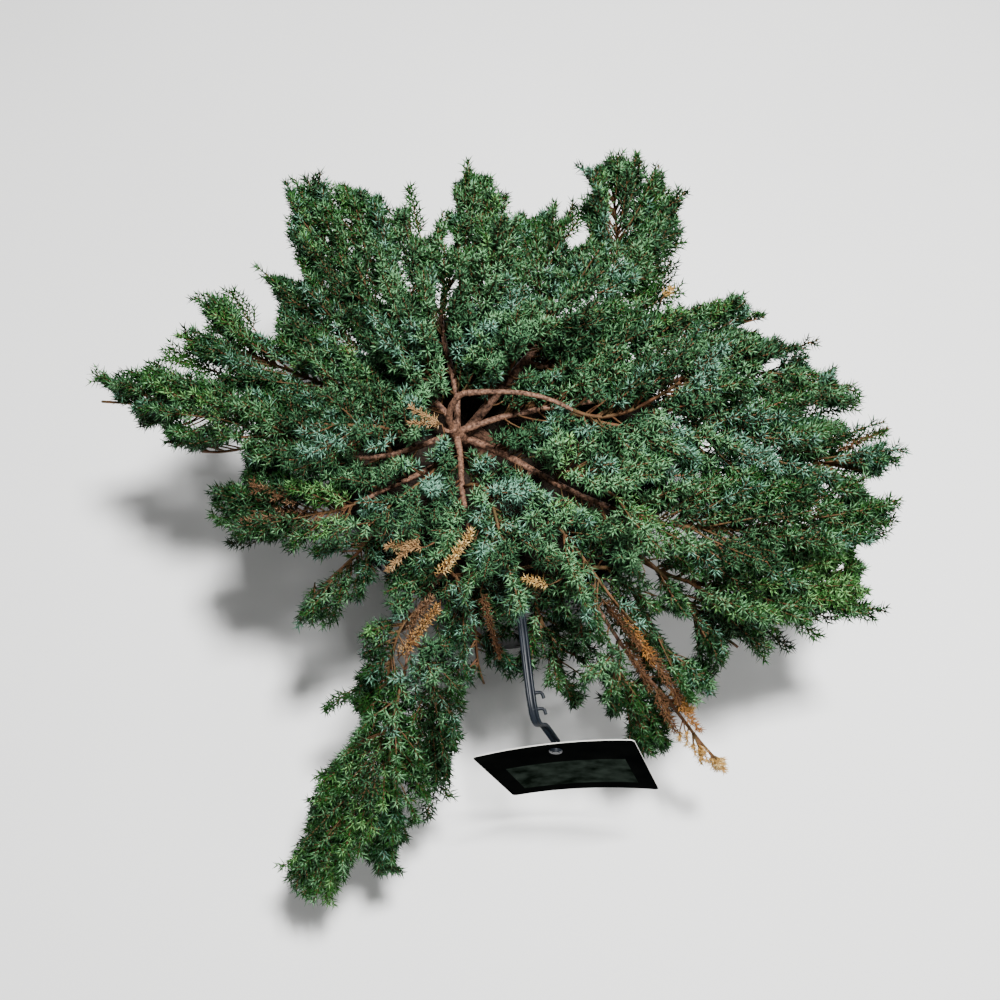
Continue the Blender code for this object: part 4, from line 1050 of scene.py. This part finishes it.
needleColours = {
    # tint: outer near, outer far, inner near, inner far
    "green": ((0.006, 0.036, 0.005), (0.017, 0.070, 0.012), (0.056, 0.170, 0.062), (0.165, 0.345, 0.165)),
    # the darkest tint is painted shade: near-black green for sprays inside and under the crown, on both faces
    # of its needles
    "deep": ((0.002, 0.012, 0.002), (0.005, 0.028, 0.005), (0.018, 0.062, 0.023), (0.054, 0.140, 0.062)),
    "blue": ((0.006, 0.034, 0.011), (0.016, 0.060, 0.022), (0.072, 0.190, 0.120), (0.180, 0.370, 0.265)),
    "fresh": ((0.013, 0.063, 0.009), (0.032, 0.112, 0.019), (0.088, 0.235, 0.064), (0.190, 0.400, 0.138)),
    "brown": ((0.070, 0.032, 0.016), (0.140, 0.068, 0.032), (0.170, 0.090, 0.045), (0.260, 0.150, 0.080)),
    "amber": ((0.220, 0.090, 0.022), (0.380, 0.175, 0.048), (0.430, 0.220, 0.070), (0.560, 0.330, 0.125)),
    "tan": ((0.280, 0.155, 0.070), (0.430, 0.260, 0.115), (0.480, 0.320, 0.165), (0.620, 0.450, 0.250)),
    "gold": ((0.360, 0.190, 0.045), (0.640, 0.390, 0.120), (0.700, 0.480, 0.190), (0.880, 0.690, 0.340)),
}
slotFor = {"green": "needles_green", "deep": "needles_deep", "blue": "needles_blue", "fresh": "needles_fresh",
           "brown": "needles_gold", "amber": "needles_gold", "tan": "needles_gold", "gold": "needles_gold"}

print("needles")
draws = np.random.default_rng(finer["seed"])
mostTriangles = 185000      # in one piece, as estimated
massNodes = [mass.name for mass in masses]
needleTotal = 0
for tint, colours in needleColours.items():
    chosen = np.nonzero(tints == tint)[0]
    if len(chosen) == 0:
        continue
    outerFace = mottledMaterial("needle_" + tint, colours[0], colours[1], 160, (0.42, 0.62), shine=0.12)
    innerFace = mottledMaterial("needle_inner_" + tint, colours[2], colours[3], 160, (0.50, 0.72), shine=0.2)
    lengths = (np.linalg.norm(middles - starts, axis=1) + np.linalg.norm(ends - middles, axis=1))[chosen]
    estimate = np.cumsum(lengths / needle["whorl"] * needle["each"] * 4)
    parts = int(estimate[-1] / mostTriangles) + 1
    for number in range(parts):
        low, high = estimate[-1] * number / parts, estimate[-1] * (number + 1) / parts
        own = chosen[(estimate > low) & (estimate <= high + 1)]
        piece = growNeedles(f"needles_{tint}_{number + 1}", starts[own], middles[own], ends[own], draws,
                            needle["dead"] if slotFor[tint] == "needles_gold" else 1)
        piece.data.materials.append(outerFace)
        piece.data.materials.append(innerFace)
        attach(piece, "root")
        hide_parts(*massNodes)
        needleTotal += len(piece.data.vertices) // 4
        print(piece.name, len(piece.data.polygons))
print("needles in all", needleTotal)

barkLook = mottledMaterial("bark", (0.230, 0.120, 0.075), (0.020, 0.009, 0.006), 420, (0.42, 0.72), 8.0,
                           (700, 0.9, 0.0012), shine=0.2)
twigLook = mottledMaterial("twig", (0.120, 0.052, 0.026), (0.060, 0.045, 0.018), 90, (0.55, 0.8), shine=0.1)

twigs = tubes("twigs", twigPaths, 3)
shootPaths = [(np.array((a, 0.25 * a + 0.5 * b + 0.25 * c, c)), finer["shootRadius"], finer["shootTip"])
              for a, b, c in zip(starts, middles, ends)]
half = len(shootPaths) // 2
thinPieces = [twigs, tubes("shoots_1", shootPaths[:half], 3, pointed=True),
              tubes("shoots_2", shootPaths[half:], 3, pointed=True)]
for piece in thinPieces:
    piece.data.materials.append(twigLook)
    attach(piece, "root")
    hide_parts(*massNodes)
    print(piece.name, len(piece.data.polygons))


def ringFrames(points):
    # two directions across a path at each point, without a twist between them
    ways = unitRows(np.gradient(points, axis=0))
    guide = skyUp if abs(ways[0][2]) < 0.9 else np.array((0.0, 1.0, 0.0))
    frames = []
    for way in ways:
        side = unit(np.cross(guide, way))
        up = np.cross(way, side)
        frames.append((side, up))
        guide = up
    return frames


def skin(bm, rings):
    # a closed tube through rings of corners, drawn out of its first face
    face = bm.faces.new([bm.verts.new(corner) for corner in rings[0]])
    for number, corners in enumerate(rings[1:]):
        grown = bmesh.ops.extrude_face_region(bm, geom=[face])["geom"]
        if number:
            bmesh.ops.delete(bm, geom=[face], context="FACES_ONLY")
        face = next(item for item in grown if isinstance(item, bmesh.types.BMFace))
        for vert, corner in zip(face.verts, corners):
            vert.co = corner


bark = {
    "sides": 18, "step": 0.0026, "relief": 0.10, "knot": 0.10, "knotStep": 0.021, "collar": 0.14,
    "collarLength": 0.005, "rootWiden": 1.15, "strips": 1.7, "stretch": 55, "coarse": 1.6, "fine": 4.2,
}


def barkTube(bm, route, sink, seed, foot=None):
    # a limb with flaking strips along it and faint knots, sunk into its parent by sink
    points, radii = route.samples(bark["step"])
    if sink:
        back = route.leave if route.leave is not None else route.way(0)
        points = np.concatenate(([points[0] - back * sink], points))
        radii = np.concatenate(([radii[0] * bark["rootWiden"]], radii))
    rings = []
    travelled = np.concatenate(([0], np.cumsum(np.linalg.norm(np.diff(points, axis=0), axis=1))))
    for number, (point, radius, (side, up)) in enumerate(zip(points, radii, ringFrames(points))):
        corners = []
        collar = 1 + bark["collar"] * math.exp(-travelled[number] / bark["collarLength"])
        knot = 1 + bark["knot"] * max(0, math.sin(travelled[number] / bark["knotStep"] * math.pi)) ** 6
        for corner in range(bark["sides"]):
            angle = 2 * math.pi * corner / bark["sides"]
            across = Vector((math.cos(angle) * bark["strips"] + seed, math.sin(angle) * bark["strips"],
                             travelled[number] * bark["stretch"]))
            strips = noise.noise(across * bark["coarse"]) + 0.5 * noise.noise(across * bark["fine"])
            size = radius * collar * knot * (1 + bark["relief"] * strips)
            if foot:
                fade = max(0.0, 1 - travelled[number] / (route.length * 0.5))
                size *= 1 + trunk["lobeDepth"] * fade * math.cos(trunk["lobes"] * angle)
            corners.append(Vector(point + size * (side * math.cos(angle) + up * math.sin(angle))))
        rings.append(corners)
    skin(bm, rings)


def finishPiece(name, bm, material, nodes, smooth=None):
    mesh = bpy.data.meshes.new(name)
    bm.to_mesh(mesh)
    bm.free()
    piece = placed(name, mesh)
    materials = material if isinstance(material, (list, tuple)) else [material]
    for item in materials:
        mesh.materials.append(item)
    if smooth is not None:
        mesh.shade_smooth()
        mesh.set_sharp_from_angle(angle=math.radians(smooth))
    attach(piece, "root")
    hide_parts(*nodes)
    print(name, len(mesh.polygons))
    return piece


print("trunk and boughs")
bm = bmesh.new()
barkTube(bm, routes["trunk"], 0, 3.1, foot=True)
for number, limb in enumerate(limbs):
    parent = routes[limb.parent]
    sink = parent.radius(limb.along) * 0.7 if limb.along < 1 else 0.002
    barkTube(bm, routes[limb.name], sink, number * 7.3)
bmesh.ops.recalc_face_normals(bm, faces=bm.faces[:])
finishPiece("trunk_and_boughs", bm, barkLook, ["trunk"] + [limb.name for limb in limbs], smooth=60)

print("pot")
plasticLook = mottledMaterial("black_plastic", (0.006, 0.0065, 0.007), (0.012, 0.013, 0.0135), 24,
                              (0.38, 0.58), 5.0, (260, 0.12, 0.0004), shine=0.3)


def spunPiece(profile, segments):
    bm = bmesh.new()
    verts = [bm.verts.new((radius, 0, height)) for radius, height in profile]
    edges = [bm.edges.new(pair) for pair in zip(verts, verts[1:])]
    bmesh.ops.spin(bm, geom=verts + edges, cent=(0, 0, 0), axis=(0, 0, 1), angle=2 * math.pi, steps=segments,
                   use_merge=True)
    bmesh.ops.remove_doubles(bm, verts=bm.verts[:], dist=1e-6)
    bmesh.ops.dissolve_degenerate(bm, edges=bm.edges[:], dist=1e-6)
    bmesh.ops.recalc_face_normals(bm, faces=bm.faces[:])
    return bm


lipFoot = pot["height"] - pot["lipDepth"]
innerRim = wallRadius(pot["height"]) - pot["wall"]
edge = pot["edge"]
profile = [(0, 0.0012), (pot["base"] - 0.016, 0.0012), (pot["base"] - 0.014, 0), (pot["base"] - 0.003, 0),
           (wallRadius(0.003), 0.003)]
for height in (0.030, 0.0312, 0.150, 0.1512):
    profile.append((wallRadius(height) + (0.0006 if height in (0.0312, 0.150) else 0), height))
profile += [(wallRadius(lipFoot - 0.004), lipFoot - 0.004), (pot["rim"] - 2 * edge, lipFoot),
            (pot["rim"] - edge, lipFoot - 0.0006), (pot["rim"], lipFoot + edge),
            (pot["rim"], pot["height"] - 2 * edge), (pot["rim"] - 0.4 * edge, pot["height"] - 0.6 * edge),
            (pot["rim"] - 1.2 * edge, pot["height"]), (innerRim + edge, pot["height"]),
            (innerRim, pot["height"] - edge),
            (wallRadius(pot["wall"]) - pot["wall"], pot["wall"]), (0, pot["wall"])]
bm = spunPiece(profile, pot["segments"])
finishPiece("pot_shell", bm, plasticLook, ["pot"], smooth=35)

print("compost")
soilLook = mottledMaterial("compost", (0.006, 0.0045, 0.0035), (0.024, 0.017, 0.012), 420, (0.85, 1.0), 8.0,
                           (700, 1.0, 0.002), shine=0.1)
soil = {"rings": 46, "segments": 128, "bump": 0.0022, "coarse": 160, "fine": 420, "dipFrom": 0.80}
bm = bmesh.new()
bmesh.ops.create_circle(bm, cap_ends=True, cap_tris=True, radius=0.001, segments=soil["segments"])
border = [item for item in bm.edges if item.is_boundary]
inner = wallRadius(pot["soil"]) - pot["wall"] - 2 * gap
for ring in range(1, soil["rings"] + 1):
    grown = bmesh.ops.extrude_edge_only(bm, edges=border)["geom"]
    border = [item for item in grown if isinstance(item, bmesh.types.BMEdge)]
    reach = inner * ring / soil["rings"]
    for vert in {vert for item in border for vert in item.verts}:
        flat = unit(np.array((vert.co.x, vert.co.y)))
        vert.co.x, vert.co.y = flat * reach
for vert in bm.verts:
    reach = math.hypot(vert.co.x, vert.co.y)
    dip = pot["soilDip"] * max(0.0, (reach / inner - soil["dipFrom"]) / (1 - soil["dipFrom"]))
    rough = noise.noise(Vector((vert.co.x, vert.co.y, 0)) * soil["coarse"])
    rough += 0.6 * noise.noise(Vector((vert.co.x, vert.co.y, 7)) * soil["fine"])
    vert.co.z = pot["soil"] - dip - 0.0008 + soil["bump"] * 0.5 * (rough - 0.6)
grown = bmesh.ops.extrude_edge_only(bm, edges=[item for item in bm.edges if item.is_boundary])["geom"]
rimVerts = [item for item in grown if isinstance(item, bmesh.types.BMVert)]
for vert in rimVerts:
    flat = unit(np.array((vert.co.x, vert.co.y)))
    vert.co.x, vert.co.y = flat * (wallRadius(0.004) - pot["wall"] - 2 * gap)
    vert.co.z = pot["wall"] + gap
bmesh.ops.contextual_create(bm, geom=[item for item in grown if isinstance(item, bmesh.types.BMEdge)])
bmesh.ops.recalc_face_normals(bm, faces=bm.faces[:])
finishPiece("compost", bm, soilLook, ["soil"], smooth=60)

print("label")
holderLook = mottledMaterial("holder_plastic", (0.004, 0.006, 0.009), (0.009, 0.012, 0.017), 60,
                             (0.30, 0.45), shine=0.12)
cardDark = mottledMaterial("card_dark", (0.0016, 0.0020, 0.0020), (0.0036, 0.0042, 0.0038), 40,
                           (0.45, 0.60), shine=0)
cardPicture = mottledMaterial("card_picture", (0.0030, 0.0055, 0.0035), (0.0260, 0.0360, 0.0290), 70,
                              (0.45, 0.60), 8.0, shine=0)
cardPale = mottledMaterial("card_pale", (0.62, 0.61, 0.57), (0.52, 0.51, 0.47), 90, (0.35, 0.5))
place = cardFrame()
bm = bmesh.new()
bmesh.ops.create_grid(bm, x_segments=26, y_segments=22, size=0.5)
bmesh.ops.scale(bm, vec=(card["width"], card["height"], 1), verts=bm.verts[:])
corners = [vert for vert in bm.verts if len(vert.link_faces) == 1]
bmesh.ops.bevel(bm, geom=corners, offset=card["corner"], offset_type="OFFSET", segments=4, profile=0.5,
                affect="VERTICES", material=-1)
for face in bm.faces:
    middle = face.calc_center_median()
    beside = abs(middle.x) < card["width"] * 0.38
    face.material_index = 1 if beside and -card["height"] * 0.36 < middle.y < card["height"] * 0.12 else 0
for vert in bm.verts:
    across, down = vert.co.x, vert.co.y - card["height"] / 2
    side = 2 * across / card["width"]
    forward = card["bow"] * side**2 - card["twist"] * side * (1 + down / card["height"])
    vert.co = (across, -forward, down)
bmesh.ops.recalc_face_normals(bm, faces=bm.faces[:])
front = bm.faces[:]
if front[0].normal.y > 0:
    bmesh.ops.reverse_faces(bm, faces=front)
grown = bmesh.ops.extrude_face_region(bm, geom=bm.faces[:], use_keep_orig=True)["geom"]
for item in grown:
    if isinstance(item, bmesh.types.BMVert):
        item.co.y += card["thick"]
frontSet = set(front)
for face in bm.faces:
    if face not in frontSet:
        face.material_index = 2
bmesh.ops.recalc_face_normals(bm, faces=bm.faces[:])
bmesh.ops.transform(bm, matrix=place, verts=bm.verts[:])
finishPiece("label_card_sheet", bm, [cardDark, cardPicture, cardPale], ["label_card"], smooth=40)


def barTube(bm, path, radius, sides, flat=1.0):
    angles = [2 * math.pi * (corner + 0.5) / sides for corner in range(sides)]
    skin(bm, [[Vector(point + radius * (side * math.cos(angle) + up * math.sin(angle) * flat))
               for angle in angles] for point, (side, up) in zip(path, ringFrames(path))])


def smoothPath(points, each):
    # rounded course through a few points
    path = []
    for number in range(len(points) - 1):
        before = points[max(0, number - 1)]
        after = points[min(len(points) - 1, number + 2)]
        a, b = points[number], points[number + 1]
        for step in range(each):
            t = step / each
            path.append(0.5 * ((2 * a) + (b - before) * t + (2 * before - 5 * a + 4 * b - after) * t**2
                               + (3 * a - before - 3 * b + after) * t**3))
    path.append(points[-1])
    return np.array(path)


route = holderRoute()
bm = bmesh.new()
along = unit(route[3] - route[2])
sideways = unit(np.cross(skyUp, along))
path = smoothPath(route, 8)
for offset in (-holder["rodApart"], holder["rodApart"]):
    barTube(bm, path + sideways * offset, holder["rod"], 10)
barTube(bm, path, holder["rodApart"], 8, holder["web"])
for share in holder["hooksAt"]:
    root = mix(route[2], route[3], share)
    hook = np.array((root, root + sideways * holder["hook"] * 0.8,
                     root + sideways * holder["hook"] + along * holder["hook"] * 0.5))
    barTube(bm, smoothPath(hook, 5), holder["hookBar"], 8)
button = [tuple(place @ Vector((0, -2 * gap - holder["buttonThick"] * share, -card["holeDrop"])))
          for share in (0.0, 0.35, 0.75, 1.0)]
button = np.array(button)
for near, far, radius in ((0, 1, 1.0), (1, 2, 0.9), (2, 3, 0.6)):
    barTube(bm, button[near:far + 1], holder["button"] * radius, 20)
bmesh.ops.recalc_face_normals(bm, faces=bm.faces[:])
finishPiece("label_holder_bar", bm, holderLook, ["label_holder"], smooth=50)

print("floor, light and camera")
bm = bmesh.new()
bmesh.ops.create_grid(bm, x_segments=1, y_segments=1, size=4)
mesh = bpy.data.meshes.new("floor")
bm.to_mesh(mesh)
bm.free()
floor = placed("floor", mesh)
floorLook = mottledMaterial("floor_paint", (0.86, 0.86, 0.85), (0.89, 0.89, 0.88), 3, (0.7, 0.8))
mesh.materials.append(floorLook)
floor.location.z = -0.0005

world = bpy.data.worlds.new("studio")
bpy.context.scene.world = world
world.use_nodes = True
world.node_tree.nodes["Background"].inputs["Color"].default_value = (1.0, 1.0, 1.0, 1)
world.node_tree.nodes["Background"].inputs["Strength"].default_value = 0.15


def softLight(name, place, size, power, aim=(0, 0, 0.2)):
    data = bpy.data.lights.new(name, "AREA")
    data.size = size
    data.energy = power
    thing = placed(name, data)
    thing.location = place
    thing.rotation_euler = (Vector(aim) - Vector(place)).to_track_quat("-Z", "Y").to_euler()


softLight("key", (0.30, 0.05, 2.1), 0.30, 118)
softLight("fill", (1.3, -1.3, 1.6), 1.4, 15)
softLight("rear", (0.6, 1.6, 0.8), 1.2, 6)

cameraData = bpy.data.cameras.new("camera")
cameraData.lens = view["lens"]
cameraData.sensor_width = view["sensor"]
camera = placed("camera", cameraData)
camera.location = eye
camera.rotation_euler = (Vector(view["aim"]) - camera.location).to_track_quat("-Z", "Y").to_euler()
bpy.context.scene.camera = camera
